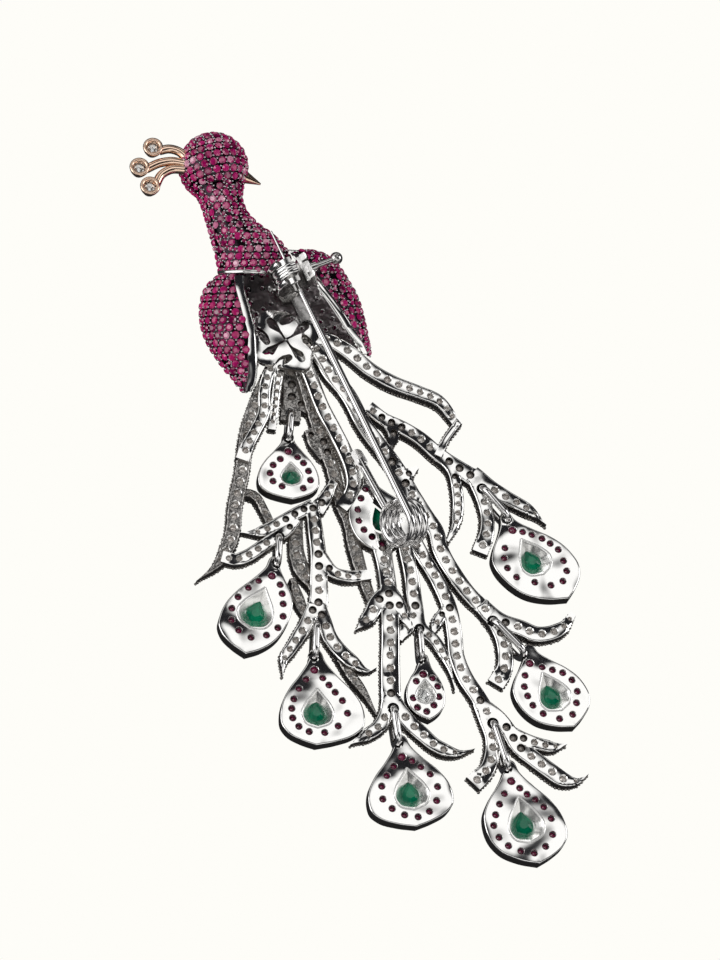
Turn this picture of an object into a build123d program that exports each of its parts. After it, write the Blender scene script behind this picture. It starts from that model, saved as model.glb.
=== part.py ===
from build123d import *
import math
import os

# A peacock brooch lying face down, so its back is up: X to the right, Y to the head, Z up from the table.
# Lengths are in millimetres and angles in degrees.

# Overall size, and the squared sketch on which the plan is laid out.
# The sketch shows the back as seen with the head end tipped away by PITCH and turned to the side by ROLL.
LENGTH = 97.0
SKETCH_ROWS = 72.0
PITCH = 22.0
ROLL = 8.0
SQUARE = LENGTH * math.cos(math.radians(PITCH)) / SKETCH_ROWS
MIDDLE_COL = 36.0
MIDDLE_ROW = 48.0

# Heights and sections of the tail
LEVEL = 2.3
RISE = 2.6
FEATHER_THICK = 2.0
FEATHER_WIDTH = 2.05
HUB_ACROSS = 8.2
HUB_ALONG = 6.4
HUB_SHARE = 0.77
PEG_RADIUS = 0.8

# Bird
BIRD_DEPTH = 7.4
BIRD_WALL = 0.9
HEAD_RADIUS = 4.25
HEAD_HEIGHT = 4.7
BEAK_RADIUS = 0.95
CREST_HEIGHT = 5.2
STEM_RADIUS = 0.36
STEM_KNOB = 1.12
BEZEL_RADIUS = 1.3
BEZEL_FOOT = 0.85
BEZEL_DEPTH = 1.7
BEZEL_BORE = 0.78
CREST_STONE = 0.62

# Drops, their stones and their links
DROP_THICK = 2.1
DROP_CAP = 0.7
RUBY_RADIUS = 0.38
BIG_RUBY_RADIUS = 0.48
RUBY_RAISE = 0.5
RUBY_HOLE_PLAY = 0.1
LINK_WIRE = 0.9
SMALL_LINK_WIRE = 0.7
LINK_BEND = 1.15
LINK_PLAY = 0.2
LINK_HOLE_PLAY = 0.24
LINK_HOLE_SHIFT = 0.1

# Pin, spring and catch
PIN_HEIGHT = 9.5
PIN_RADIUS = 0.47
WIRE_RADIUS = 0.52
PIN_ROOT = 5.2
PIN_POINT = 0.12
PIN_TAPER = 17.0
COIL_RADIUS = 2.5
COIL_LEAN = 28.0
COIL_PITCH = 0.98
COIL_GAP = 0.06
TAIL_LENGTH = 10.2
TAIL_RISE = 1.1
TAIL_TURN = 5.0
PAD_LENGTH = 2.6
PAD_WIDTH = 1.5
PAD_THICK = 0.7
BARREL_OUTER = 2.6
ROTOR_OUTER = 2.5
SLEEVE_OUTER = 1.85
SLEEVE_PLAY = 0.05
ROTOR_BORE = 1.35
END_RING = 0.85
ROTOR_BAND = 1.5
AXIAL_PLAY = 0.1
SLOT_FROM = -42.0
SLOT_TO = 54.0
MOUTH_FROM = 4.0
MOUTH_TO = 66.0
LEVER_RADIUS = 0.36
LEVER_REACH = 6.1
BALL_RADIUS = 0.8
HUB_RADIUS = 0.62
FOOT_WIDTH = 2.4
FOOT_THICK = 0.8

# Gallery
GALLERY_THICK = 0.8
LOBE_RADIUS = 1.75
LOBE_PLACE = 2.4
LOBE_HOLE = 0.62

# Small gap between pieces that lie on each other
GAP = 0.1

TALL = 14.0
FAR = 80.0


def spot(col, row, z):
    """Place of a point of the sketch that lies at height z."""
    roll = math.radians(ROLL)
    pitch = math.radians(PITCH)
    right = (col - MIDDLE_COL) * SQUARE
    up = (MIDDLE_ROW - row) * SQUARE
    x = (right - z * math.sin(roll)) / math.cos(roll)
    y = (up + x * math.sin(roll) * math.sin(pitch) - z * math.cos(roll) * math.sin(pitch)) / math.cos(pitch)
    return Vector(x, y, z)


def flat(point):
    """The same place on the table."""
    return Vector(point.X, point.Y, 0)


def between(table, value):
    """Value read from rows of (place, value), along straight lines."""
    if value <= table[0][0]:
        return table[0][1]
    for (low, first), (high, last) in zip(table, table[1:]):
        if value <= high:
            return first + (last - first) * (value - low) / (high - low)
    return table[-1][1]


def spread(values, share):
    """Value at a share of the way along evenly spaced values, with soft steps."""
    place = share * (len(values) - 1)
    index = min(int(place), len(values) - 2)
    step = place - index
    soft = step * step * (3 - 2 * step)
    return values[index] + (values[index + 1] - values[index]) * soft


# Feathers. Each has a profile, rows of (sketch row, share of RISE above LEVEL), and its strips.
# A strip is its middle line, in sketch squares, and its widths from start to end as shares of FEATHER_WIDTH.
FEATHERS = {
    "far_left": (
        [(35.5, 0.72), (46, 0.25), (58, -0.25)],
        [
            ([(27.8, 35.6), (26.9, 37.4), (25.8, 39.9), (24.9, 43.0), (24.4, 47.0), (23.8, 50.0),
              (23.3, 53.8), (22.2, 56.0), (20.0, 57.8)], [0.65, 0.8, 0.9, 0.9, 0.9, 0]),
        ],
    ),
    "left_inner": (
        [(35, 0.72), (46, 0.56)],
        [
            ([(27.8, 35.6), (26.8, 37.6), (26.5, 39.3), (26.5, 41.0), (25.6, 43.1), (24.9, 44.5), (24.4, 45.9)],
             [0.7, 0.75, 0.75, 0.8]),
            ([(28.2, 35.5), (27.8, 38.5), (27.5, 41.0), (27.3, 42.9)], [0.6, 0.55, 0.45]),
        ],
    ),
    "first_carrier": (
        [(35, 0.5), (38.3, 0.1), (39.6, 0.0), (41.5, 0.0), (43, 0.0)],
        [
            ([(29.2, 35.2), (29.2, 38.0), (29.2, 40.0), (29.1, 42.0)], [1.1, 1.15, 1.2]),
            ([(29.1, 38.9), (29.9, 40.2), (30.8, 40.9), (31.9, 41.2)], [0.8, 0.8, 0.55, 0]),
        ],
    ),
    "deep_middle": (
        [(35.5, 0.62), (42, 0.2), (50, -0.25), (60, -0.3)],
        [
            ([(29.9, 36.0), (31.1, 40.0), (32.0, 43.0), (33.4, 47.0), (34.2, 50.3), (35.0, 52.0),
              (35.5, 54.5), (36.2, 57.0), (37.3, 60.0)], [0.85, 0.85, 0.85, 0.85, 0.6]),
            ([(30.9, 42.9), (31.5, 44.1), (32.6, 45.5)], [0.6, 0.8, 0.8]),
        ],
    ),
    "inner_curve": (
        [(34.5, 0.72), (38, 0.72), (42, 0.69), (47, 0.42), (50.8, 0.1)],
        [
            ([(29.9, 34.8), (30.5, 36.2), (31.2, 37.9), (32.2, 40.5), (33.5, 43.0), (34.5, 45.0), (35.2, 46.8),
              (35.4, 48.2), (35.0, 49.5), (34.2, 50.6)], [0.9, 0.9, 0.9, 0.9, 0.8]),
        ],
    ),
    "long_right": (
        [(33, 0.72), (37, 0.72), (42, 0.64), (47, 0.36), (51, 0.06), (53.5, 0.0), (56, 0.0), (62, 0.0), (69, 0.0)],
        [
            ([(30.2, 33.6), (31.8, 35.2), (33.1, 37.3), (34.6, 39.1), (36.5, 42.5), (39.5, 46.5), (41.3, 49.5),
              (42.7, 51.7), (43.5, 52.9), (44.0, 54.8), (45.4, 57.3), (46.9, 59.3), (48.9, 61.1)],
             [0.95, 1.0, 1.0, 1.0, 0.95]),
            ([(48.0, 60.2), (49.3, 62.0), (50.0, 63.4), (50.3, 64.9), (50.2, 66.4), (49.3, 67.9)],
             [1.0, 0.9, 0.95, 1.0]),
            ([(48.0, 60.2), (49.9, 61.8), (51.9, 62.5), (53.4, 63.1), (54.8, 63.0), (56.0, 62.5), (57.1, 61.1)],
             [0.9, 1.0, 1.0, 0.9, 0.4]),
            ([(39.2, 46.1), (40.5, 47.4), (41.8, 46.6)], [0.6, 0.9, 0.2]),
        ],
    ),
    "right_lower": (
        [],
        [
            ([(40.2, 50.6), (41.0, 53.0), (42.0, 55.0), (43.5, 57.5), (44.8, 60.4), (45.3, 63.0), (45.5, 65.2),
              (46.3, 67.2), (47.6, 69.2), (48.8, 71.2)], [0.9, 0.9, 0.95, 1.0]),
            ([(47.8, 69.7), (48.5, 71.7), (48.9, 72.9), (48.9, 74.4), (48.4, 75.9), (47.0, 77.3)],
             [0.95, 0.9, 0.95, 1.05]),
            ([(47.8, 69.7), (49.7, 71.3), (50.6, 72.5), (51.5, 73.9), (52.8, 74.9), (54.4, 76.1), (55.8, 77.0),
              (57.1, 77.2), (58.3, 76.5)], [0.9, 0.95, 1.0, 1.0, 0]),
            ([(50.4, 72.2), (52.3, 73.3), (53.7, 73.7), (55.1, 73.9), (56.2, 73.6)], [0.7, 0.85, 0.75, 0.1]),
            ([(44.7, 60.4), (43.7, 61.7), (43.1, 63.2)], [0.6, 0.7, 0.1]),
        ],
    ),
    "right_upper": (
        [(33, 0.72), (36, 0.71), (38, 0.65), (42, 0.45), (45.5, 0.3)],
        [
            ([(30.8, 33.7), (33.2, 34.0), (34.8, 35.0), (37.1, 36.9), (39.2, 38.1), (42.1, 39.2), (43.9, 40.0),
              (45.2, 41.5), (45.9, 42.5)], [0.9, 0.95, 0.9, 0.8, 0.55]),
            ([(45.8, 42.2), (44.7, 43.7), (43.8, 45.5)], [0.45, 0.45]),
        ],
    ),
    "right_fork": (
        [(40.4, 0.6), (44, 0.28), (47.3, 0.02), (49.0, 0.0), (52.0, 0.0), (56, 0.0)],
        [
            ([(36.9, 40.6), (38.4, 41.8), (40.3, 42.7), (42.1, 43.8), (43.7, 45.2), (46.0, 46.8), (48.2, 48.2)],
             [0.8, 0.85, 0.9, 1.1]),
            ([(43.9, 45.4), (45.2, 46.9), (45.7, 49.0), (45.8, 50.6), (45.5, 52.4), (44.7, 54.0)],
             [0.7, 0.7, 0.7, 0.15]),
            ([(47.4, 47.7), (48.3, 49.9), (48.7, 51.5), (48.6, 53.2), (47.9, 55.1)], [0.9, 0.85, 0.95]),
            ([(47.2, 47.4), (49.2, 48.8), (50.5, 49.6), (52.0, 50.4), (53.3, 51.2), (54.6, 52.4)],
             [1.2, 0.95, 0.8, 0]),
            ([(38.2, 41.6), (39.4, 43.2), (39.1, 44.8)], [0.6, 0.8, 0.1]),
        ],
    ),
    "left_lower": (
        [],
        [
            ([(33.4, 48.1), (32.7, 49.5), (31.7, 50.9)], [0.6, 0.8, 0.95]),
            ([(31.3, 50.2), (31.5, 52.0), (31.7, 53.5), (31.9, 55.0), (32.0, 58.0), (32.0, 59.3), (31.8, 61.2)],
             [0.85, 0.95, 1.05, 1.15]),
            ([(31.4, 50.4), (30.0, 51.1), (28.2, 52.1), (26.2, 53.0), (24.2, 53.1)], [0.8, 0.8, 0.75, 0]),
            ([(32.0, 55.2), (33.6, 57.1), (34.9, 57.4), (36.2, 57.3), (37.1, 57.2)], [0.8, 0.75, 0.6]),
            ([(31.6, 60.2), (30.5, 62.5), (29.9, 63.4), (29.3, 64.3), (28.8, 65.0), (28.5, 67.0)],
             [0.9, 0.9, 0.75, 0]),
            ([(31.9, 60.2), (32.5, 61.7), (33.1, 63.3), (34.2, 64.7), (35.5, 65.8), (36.8, 66.5), (37.7, 66.2)],
             [0.9, 0.9, 0.9, 0]),
            ([(29.7, 51.8), (28.9, 52.8), (27.9, 53.5), (26.9, 54.1), (25.9, 54.8), (24.9, 55.4), (23.8, 55.7),
              (22.5, 55.4)], [0.7, 0.8, 0.8, 0.7]),
        ],
    ),
    "left_deep": (
        [(48, -0.25), (70, -0.25)],
        [
            ([(23.3, 50.8), (24.3, 49.2), (25.5, 49.4), (26.5, 50.8), (27.3, 52.4)], [0.5, 0.55, 0.5]),
            ([(31.4, 58.6), (30.2, 56.5), (29.7, 54.2), (30.2, 51.8)], [0.5, 1.0, 0.9, 0.3]),
            ([(29.4, 57.6), (30.0, 59.6), (30.9, 61.6)], [0.4, 0.7, 0.4]),
            ([(33.4, 64.2), (34.9, 66.6), (36.4, 68.6), (37.7, 70.8)], [0.5, 0.6, 0.1]),
        ],
    ),
    "centre": (
        [(47, 0.0), (53, 0.0), (56, 0.04), (60, 0.3), (66, 0.15), (69, 0.01), (71, 0.0), (75, 0.0)],
        [
            ([(38.0, 53.2), (38.3, 55.0), (38.6, 56.8), (38.8, 58.5), (38.9, 60.0), (39.0, 62.6), (39.0, 66.0),
              (39.1, 70.2)], [1.3, 1.0, 1.05, 1.1, 1.15, 1.2]),
            ([(38.8, 58.6), (37.6, 60.1), (37.0, 61.2), (35.6, 62.6)], [0.8, 1.0, 0.9, 0]),
            ([(38.9, 58.6), (40.0, 60.5), (40.6, 61.7), (41.0, 62.5)], [0.8, 0.9, 0.7, 0.2]),
            ([(39.0, 69.0), (38.6, 70.6), (37.9, 71.8), (36.7, 72.6), (35.1, 73.5)], [1.0, 0.9, 0.8, 0]),
            ([(39.0, 69.0), (39.9, 70.3), (40.8, 71.4), (42.1, 72.6), (43.4, 73.7), (44.5, 74.2), (45.6, 74.4),
              (47.2, 74.0)], [1.0, 0.95, 0.85, 0]),
        ],
    ),
    "centre_deep": (
        [],
        [
            ([(40.4, 51.0), (40.3, 53.0), (40.6, 55.0), (41.1, 57.5), (41.3, 59.2), (41.5, 60.6), (41.9, 62.3),
              (43.4, 63.7), (44.3, 65.2), (44.9, 66.8), (45.3, 68.4)], [0.8, 0.9, 0.95, 0.7, 0]),
            ([(41.5, 60.8), (40.6, 62.4), (40.0, 63.6)], [0.7, 0.9, 0.2]),
        ],
    ),
}

# Drops: top, left and right corner, and tip in sketch squares; size of the window as (width, length) in
# squares and its middle; then the middles of the stones, the first one the big one.
DROPS = {
    1: ((28.9, 42.9), (25.9, 47.8), (32.0, 48.0), (29.4, 49.9), (2.0, 2.3), (29.2, 47.4),
        [(28.9, 45.1), (28.1, 45.9), (27.4, 46.5), (27.1, 47.3), (27.4, 48.1), (28.3, 48.6), (30.4, 48.8),
         (31.1, 48.0), (30.9, 47.1), (30.4, 46.3), (29.8, 45.7)]),
    2: ((27.9, 55.2), (22.4, 61.0), (29.4, 60.6), (24.9, 64.9), (3.3, 4.2), (26.0, 60.5),
        [(27.4, 57.3), (26.1, 57.8), (25.1, 58.5), (24.1, 59.4), (23.5, 60.5), (23.5, 61.6), (24.2, 62.6),
         (25.4, 63.3), (26.9, 63.1), (28.0, 62.4), (28.5, 61.3), (28.5, 60.1), (28.4, 59.1), (28.2, 58.2)]),
    3: ((31.7, 64.1), (28.3, 70.6), (36.5, 71.0), (31.8, 73.6), (2.9, 3.7), (31.9, 70.1),
        [(31.6, 66.4), (30.8, 67.3), (30.1, 68.2), (29.6, 69.2), (29.4, 70.1), (29.5, 71.0), (30.1, 71.8),
         (31.1, 72.3), (32.6, 72.4), (33.9, 71.8), (34.8, 70.6), (34.3, 69.4), (33.6, 68.6), (33.0, 67.9),
         (32.4, 67.2)]),
    4: ((39.9, 72.4), (36.8, 79.0), (45.0, 78.2), (41.5, 81.3), (3.2, 3.9), (40.9, 77.8),
        [(40.1, 74.7), (39.3, 75.6), (38.6, 76.5), (38.1, 77.5), (38.2, 78.7), (39.1, 79.6), (40.3, 80.2),
         (41.6, 80.4), (42.7, 79.9), (43.4, 78.9), (43.5, 77.6), (42.8, 76.4), (41.9, 75.7), (41.1, 75.1)]),
    5: ((50.4, 74.9), (48.0, 81.2), (55.9, 81.2), (53.3, 84.9), (3.3, 4.4), (51.9, 80.8),
        [(50.7, 77.1), (51.5, 77.8), (52.2, 78.4), (53.0, 78.9), (53.8, 79.6), (54.5, 80.7), (54.6, 82.2),
         (53.9, 83.3), (52.8, 83.9), (51.5, 83.7), (50.3, 83.2), (49.4, 82.4), (48.9, 81.3), (49.1, 80.3),
         (49.5, 79.3), (50.0, 78.3)]),
    6: ((52.4, 63.9), (51.1, 69.2), (58.1, 68.1), (57.0, 72.1), (3.0, 3.9), (54.8, 68.7),
        [(52.7, 65.9), (53.9, 66.3), (54.9, 66.6), (55.9, 66.9), (56.8, 67.6), (57.3, 68.7), (57.2, 69.8),
         (56.8, 70.9), (55.5, 71.3), (53.9, 70.8), (52.9, 70.0), (52.4, 69.1), (52.1, 68.2), (52.2, 67.1)]),
    7: ((50.2, 51.0), (49.3, 56.6), (57.1, 55.3), (56.7, 59.7), (3.0, 3.9), (53.1, 55.6),
        [(51.2, 52.9), (52.2, 53.1), (53.1, 53.4), (54.1, 53.8), (54.9, 54.3), (55.7, 54.9), (56.2, 56.0),
         (56.5, 57.0), (56.1, 58.0), (54.9, 58.4), (53.3, 58.1), (51.5, 57.6), (50.6, 56.7), (50.3, 55.7),
         (50.4, 54.7)]),
    8: ((42.2, 64.7), (40.5, 68.8), (44.3, 68.8), (42.8, 71.3), (1.8, 2.3), (42.4, 68.6),
        [(42.2, 66.9), (41.5, 67.6), (43.1, 67.3), (43.6, 68.1), (43.7, 69.1), (43.2, 69.9), (42.5, 70.5),
         (41.6, 70.1), (41.2, 69.2)]),
}

# The head of the centre feather is shaped like a drop and holds the ninth pear stone.
CENTRE_HEAD = ((36.6, 47.4), (34.9, 51.6), (41.0, 51.4), (38.3, 55.2), (2.6, 4.2), (38.1, 51.5),
               [(36.6, 48.8), (36.1, 49.8), (35.8, 50.9), (35.9, 52.0), (36.4, 52.9), (37.2, 53.6),
                (38.2, 54.2)])

# Links: the end in the feather and the end in the drop, where their back bars lie on the sketch.
LINKS = {
    1: ((29.2, 41.0), (29.0, 43.6)),
    2: ((28.1, 53.3), (28.0, 55.9)),
    3: ((31.8, 61.7), (31.7, 64.9)),
    4: ((39.3, 69.9), (39.8, 73.2)),
    5: ((49.0, 71.4), (50.4, 75.7)),
    6: ((49.1, 61.6), (52.2, 64.8)),
    7: ((48.2, 48.6), (50.8, 51.6)),
    8: ((41.9, 62.3), (42.1, 65.3)),
}
SMALL_LINKS = (8,)

# Edge of a drop, from its top to its tip on one side: share of the way to the corner or on to the tip, and
# share of the corner's distance from the middle line.
DROP_UPPER = [(0.2, 0.2), (0.42, 0.45), (0.62, 0.74), (0.84, 0.95)]
DROP_LOWER = [(0.0, 1.0), (0.33, 0.97), (0.6, 0.8), (0.85, 0.41)]

# Half outline of a pear, from its point to its round end: share of the length, share of the half width.
PEAR = [(0.0, 0.0), (0.18, 0.36), (0.42, 0.8), (0.66, 1.0), (0.86, 0.8), (1.0, 0.0)]

# Sizes of the pear stone and its seat as shares of the window.
GIRDLE_SHARE = 0.66
THROAT_SHARE = 0.5
TABLE_SHARE = 0.55
SEAT_DEPTH = 1.0
STONE_CROWN = 0.4
STONE_DEPTH = 1.1
STONE_INSET = 0.1
SEAT_PLAY = 0.12

# Neck: row, left and right side, middle height and half height as shares of BIRD_DEPTH.
NECK = [
    (18.2, 18.6, 24.2, 0.62, 0.38),
    (20.3, 20.0, 24.2, 0.62, 0.36),
    (22.2, 20.6, 25.8, 0.6, 0.38),
    (24.0, 21.1, 28.0, 0.55, 0.43),
    (25.5, 21.5, 28.9, 0.52, 0.47),
    (27.2, 21.8, 28.9, 0.5, 0.48),
]
NECK_HOLLOW_FROM = 23.2

# Wings: row, rim, side and foot columns, then the heights of the three as shares of BIRD_DEPTH.
WING_LEFT = [
    (27.45, 23.6, 21.9, 23.2, 0.93, 0.55, 0.25),
    (28.6, 23.7, 20.6, 23.9, 0.95, 0.52, 0.14),
    (30.5, 24.2, 20.05, 24.5, 0.93, 0.5, 0.1),
    (33.0, 24.8, 20.3, 24.9, 0.88, 0.48, 0.09),
    (35.5, 25.0, 21.5, 25.1, 0.80, 0.46, 0.12),
    (37.5, 25.0, 23.0, 25.1, 0.72, 0.46, 0.2),
    (39.2, 24.7, 24.3, 24.65, 0.62, 0.5, 0.38),
]
WING_RIGHT = [
    (24.8, 29.5, 30.7, 30.0, 0.78, 0.52, 0.3),
    (26.5, 30.7, 33.8, 31.2, 0.93, 0.52, 0.16),
    (28.5, 32.3, 35.1, 32.8, 0.93, 0.5, 0.12),
    (30.5, 33.7, 36.0, 34.1, 0.88, 0.48, 0.12),
    (32.5, 35.0, 36.5, 35.2, 0.80, 0.47, 0.16),
    (34.0, 36.0, 36.8, 36.1, 0.72, 0.47, 0.26),
    (35.4, 36.7, 37.0, 36.75, 0.62, 0.5, 0.38),
]

# Breast: row, left and right edge columns, height of the edges and of the middle as shares of BIRD_DEPTH.
BREAST = [
    (26.8, 23.6, 29.6, 0.2, 0.03),
    (29.0, 24.5, 32.7, 0.15, 0.03),
    (31.0, 25.1, 34.0, 0.14, 0.03),
    (33.0, 25.4, 35.0, 0.15, 0.04),
    (35.2, 25.7, 35.6, 0.22, 0.08),
]

HEAD_SPOT = (21.1, 16.2)
BEAK_BASE = (24.0, 17.1)
BEAK_TIP = (25.9, 17.95)
CREST_ROOT = [(17.6, 14.9), (17.35, 15.9), (17.45, 16.9)]
CREST_STEMS = [
    [(17.6, 14.9), (17.0, 14.1), (16.1, 14.2), (15.3, 14.7)],
    [(17.35, 15.9), (16.4, 16.0), (15.2, 16.4), (14.0, 16.8)],
    [(17.45, 16.9), (16.8, 17.4), (16.0, 18.1), (15.1, 18.8)],
]

PIN_TIP_SPOT = (27.1, 23.1)
PIN_TURN_SPOT = (40.8, 51.3)
CATCH_SPOT = (29.25, 27.5)
GALLERY_SPOT = (28.6, 34.0)
HUB_SPOT = (28.9, 35.0)
PEG_SPOTS = [(29.3, 34.3), (31.5, 34.6)]


def level_at(profile, row):
    """Middle height of a feather at a row of the sketch."""
    if not profile:
        return LEVEL
    return LEVEL + RISE * between(profile, row)


def strip(points, widths, profile):
    """Flat face of one strip, seen from the back."""
    top = FEATHER_THICK / 2
    places = [flat(spot(col, row, level_at(profile, row) + top)) for col, row in points]
    spine = Spline(*places) if len(places) > 2 else Line(*places)
    stations = 2 * len(points)
    left = []
    right = []
    for step in range(stations + 1):
        share = step / stations
        middle = spine @ share
        along = spine % share
        half = FEATHER_WIDTH * spread(widths, share) / 2
        side = Vector(-along.Y, along.X) * half
        left.append(middle + side)
        right.append(middle - side)
    edges = [Spline(*left)]
    if widths[-1] > 0:
        edges.append(Line(left[-1], right[-1]))
    edges.append(Spline(*reversed(right)))
    edges.append(Line(right[0], left[0]))
    return make_face(edges)


def slab(profile, col):
    """Plate of the feather's thickness that follows its side profile."""
    half = FEATHER_THICK / 2
    if not profile:
        return extrude(Plane.XY.offset(LEVEL - half) * Rectangle(2 * FAR, 2 * FAR), FEATHER_THICK)
    line = [spot(col, row, level_at(profile, row)) for row, _ in profile]
    line = [Vector(-FAR, place.Y, place.Z) for place in line]
    first = line[0] + Vector(0, FAR / 4, 0)
    last = line[-1] - Vector(0, FAR / 4, 0)
    up = Vector(0, 0, half)
    if len(line) > 2:
        middle_up = Spline(*[place + up for place in line])
        middle_down = Spline(*[place - up for place in reversed(line)])
    else:
        middle_up = Line(line[0] + up, line[-1] + up)
        middle_down = Line(line[-1] - up, line[0] - up)
    edges = [
        Line(first + up, line[0] + up),
        middle_up,
        Line(line[-1] + up, last + up),
        Line(last + up, last - up),
        Line(last - up, line[-1] - up),
        middle_down,
        Line(line[0] - up, first - up),
        Line(first - up, first + up),
    ]
    return extrude(make_face(edges), amount=2 * FAR, dir=(1, 0, 0))


def drop_face(corners, z):
    """Face of a drop: onion-shaped, with a small round top and a pointed tip."""
    top, left, right, tip = [flat(spot(col, row, z)) for col, row in corners]
    axis = (tip - top).normalized()
    across = Vector(axis.Y, -axis.X)
    length = (tip - top).length
    edges = []
    for corner, turn in ((left, 1), (right, -1)):
        down = (corner - top).dot(axis)
        out = (corner - top).dot(across) * turn
        side = across * turn
        cap = DROP_CAP
        line = [top, top + axis * cap * 0.55 + side * cap * 0.86]
        line += [top + axis * (down * share) + side * max(out * width, cap) for share, width in DROP_UPPER]
        line += [
            top + axis * (down + (length - down) * share) + side * out * width for share, width in DROP_LOWER
        ]
        line.append(tip)
        if turn < 0:
            line.reverse()
        edges.append(Spline(*line))
    return make_face(edges)


def pear_points(width, length, count):
    """Outline of a pear about its middle, its point towards +Y, with count points a side."""
    side = []
    for step in range(count + 1):
        place = step / count
        share = 0.5 - 0.5 * math.cos(math.pi * place)
        half = between(PEAR, share) * width / 2
        side.append((half, length * (0.5 - share)))
    return side + [(-x, y) for x, y in reversed(side[1:-1])]


def pear_face(width, length):
    """Smooth pear with one point, about its middle."""
    right = [Vector(width / 2 * out, length * (0.5 - share)) for share, out in PEAR]
    left = [Vector(-place.X, place.Y) for place in reversed(right)]
    return make_face([Spline(*(right + left[1:]))])


def pear_frame(drop, z):
    """Where the pear window of a drop lies, its point turned to the drop's top."""
    top = flat(spot(*drop[0], z))
    middle = flat(spot(*drop[5], z))
    turn = math.degrees(math.atan2(top.Y - middle.Y, top.X - middle.X)) - 90
    return Location((middle.X, middle.Y, 0), (0, 0, turn))


def stone_seat(drop, low, high):
    """Everything that is cut from a plate for its pear stone: window, throat and pocket."""
    width = drop[4][0] * SQUARE
    length = drop[4][1] * SQUARE
    place = pear_frame(drop, high)
    throat = low + SEAT_DEPTH
    over = 0.01
    window = loft([
        Plane.XY.offset(throat - over) * pear_face(width * THROAT_SHARE, length * THROAT_SHARE),
        Plane.XY.offset(high + over) * pear_face(width, length),
    ])
    pocket = extrude(
        Plane.XY.offset(low - over)
        * pear_face(width * GIRDLE_SHARE + 2 * SEAT_PLAY, length * GIRDLE_SHARE + 2 * SEAT_PLAY),
        SEAT_DEPTH,
    )
    return place * (window + pocket)


def cut_stone(outline, crown, depth):
    """Faceted stone with its table down, a girdle outline at Z = 0 and its culet up."""
    girdle = make_face(Polyline(*outline, close=True))
    table = Plane.XY.offset(-crown) * scale(girdle, TABLE_SHARE)
    upper = loft([table, girdle], ruled=True)
    lower = loft([girdle, Vertex(0, 0, depth)], ruled=True)
    return upper + lower


def round_stone(radius):
    """Small round stone with an octagonal girdle."""
    count = 8
    outline = [
        (radius * math.cos(2 * math.pi * step / count), radius * math.sin(2 * math.pi * step / count))
        for step in range(count)
    ]
    return cut_stone(outline, radius * 0.35, radius * 0.9)


def pear_stone(drop, low, high):
    """The pear stone in its pocket."""
    width = drop[4][0] * SQUARE * GIRDLE_SHARE
    length = drop[4][1] * SQUARE * GIRDLE_SHARE
    stone = cut_stone(pear_points(width, length, 7), STONE_CROWN, STONE_DEPTH)
    height = low + STONE_INSET + STONE_CROWN
    return pear_frame(drop, high) * Location((0, 0, height)) * stone


def ruby_places(drop, z):
    """Middle and radius of each small stone of a drop."""
    places = []
    for index, (col, row) in enumerate(drop[6]):
        radius = BIG_RUBY_RADIUS if index == 0 else RUBY_RADIUS
        places.append((flat(spot(col, row, z)), radius))
    return places


def ruby_holes(drop, low, high):
    """Through holes for the small stones."""
    holes = []
    for place, radius in ruby_places(drop, high):
        hole = Cylinder(radius + RUBY_HOLE_PLAY, high - low + 2, align=(Align.CENTER, Align.CENTER, Align.MIN))
        holes.append(Location((place.X, place.Y, low - 1)) * hole)
    return holes


def link_wire(number):
    return SMALL_LINK_WIRE if number in SMALL_LINKS else LINK_WIRE


def link_ends(number):
    """Both ends of a link at mid height, read where its back bar shows."""
    back = LEVEL + DROP_THICK / 2 + LINK_PLAY + link_wire(number) / 2
    return [flat(spot(col, row, back)) for col, row in LINKS[number]]


def link(number):
    """Oval link standing on edge, with straight legs through both holes."""
    first, last = link_ends(number)
    wire = link_wire(number)
    long = (last - first).length
    tall = DROP_THICK + 2 * LINK_PLAY + wire
    middle = (first + last) * 0.5
    along = (last - first).normalized()
    upright = Plane(origin=(middle.X, middle.Y, LEVEL), x_dir=along, z_dir=along.cross(Vector(0, 0, 1)))
    bend = min(LINK_BEND, long / 2 - 0.05, tall / 2 - 0.05)
    path = (upright * RectangleRounded(long, tall, bend)).wire()
    start = path @ 0
    profile = Plane(origin=start, z_dir=path % 0) * Circle(wire / 2)
    return sweep(profile, path=path)


def link_holes(number):
    """Round holes for the legs of a link, through feather and drop."""
    first, last = link_ends(number)
    radius = link_wire(number) / 2 + LINK_HOLE_PLAY
    along = (last - first).normalized()
    holes = []
    for place, turn in ((first, 1), (last, -1)):
        centre = place + along * LINK_HOLE_SHIFT * turn
        hole = Cylinder(radius, TALL)
        holes.append(Location((centre.X, centre.Y, LEVEL)) * hole)
    return holes


def drop_parts():
    """Plates, pear stones, links and the field of small stones."""
    low = LEVEL - DROP_THICK / 2
    high = LEVEL + DROP_THICK / 2
    parts = {}
    rubies = []
    ruby_level = LEVEL + RUBY_RAISE
    for number, drop in DROPS.items():
        plate = extrude(Plane.XY.offset(low) * drop_face(drop[:4], high), DROP_THICK)
        cuts = ruby_holes(drop, low, high) + [stone_seat(drop, low, high), link_holes(number)[1]]
        parts[f"drop_plate_{number}"] = plate - cuts
        parts[f"emerald_{number}"] = pear_stone(drop, low, high)
        for place, radius in ruby_places(drop, high):
            rubies.append(Location((place.X, place.Y, ruby_level)) * round_stone(radius))
        parts[f"jump_ring_{number}"] = link(number)
    low = LEVEL - FEATHER_THICK / 2
    high = LEVEL + FEATHER_THICK / 2
    parts["emerald_9"] = pear_stone(CENTRE_HEAD, low, high)
    for place, radius in ruby_places(CENTRE_HEAD, high):
        rubies.append(Location((place.X, place.Y, ruby_level)) * round_stone(RUBY_RADIUS))
    parts["drop_rubies"] = Compound(children=rubies)
    return parts


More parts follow.
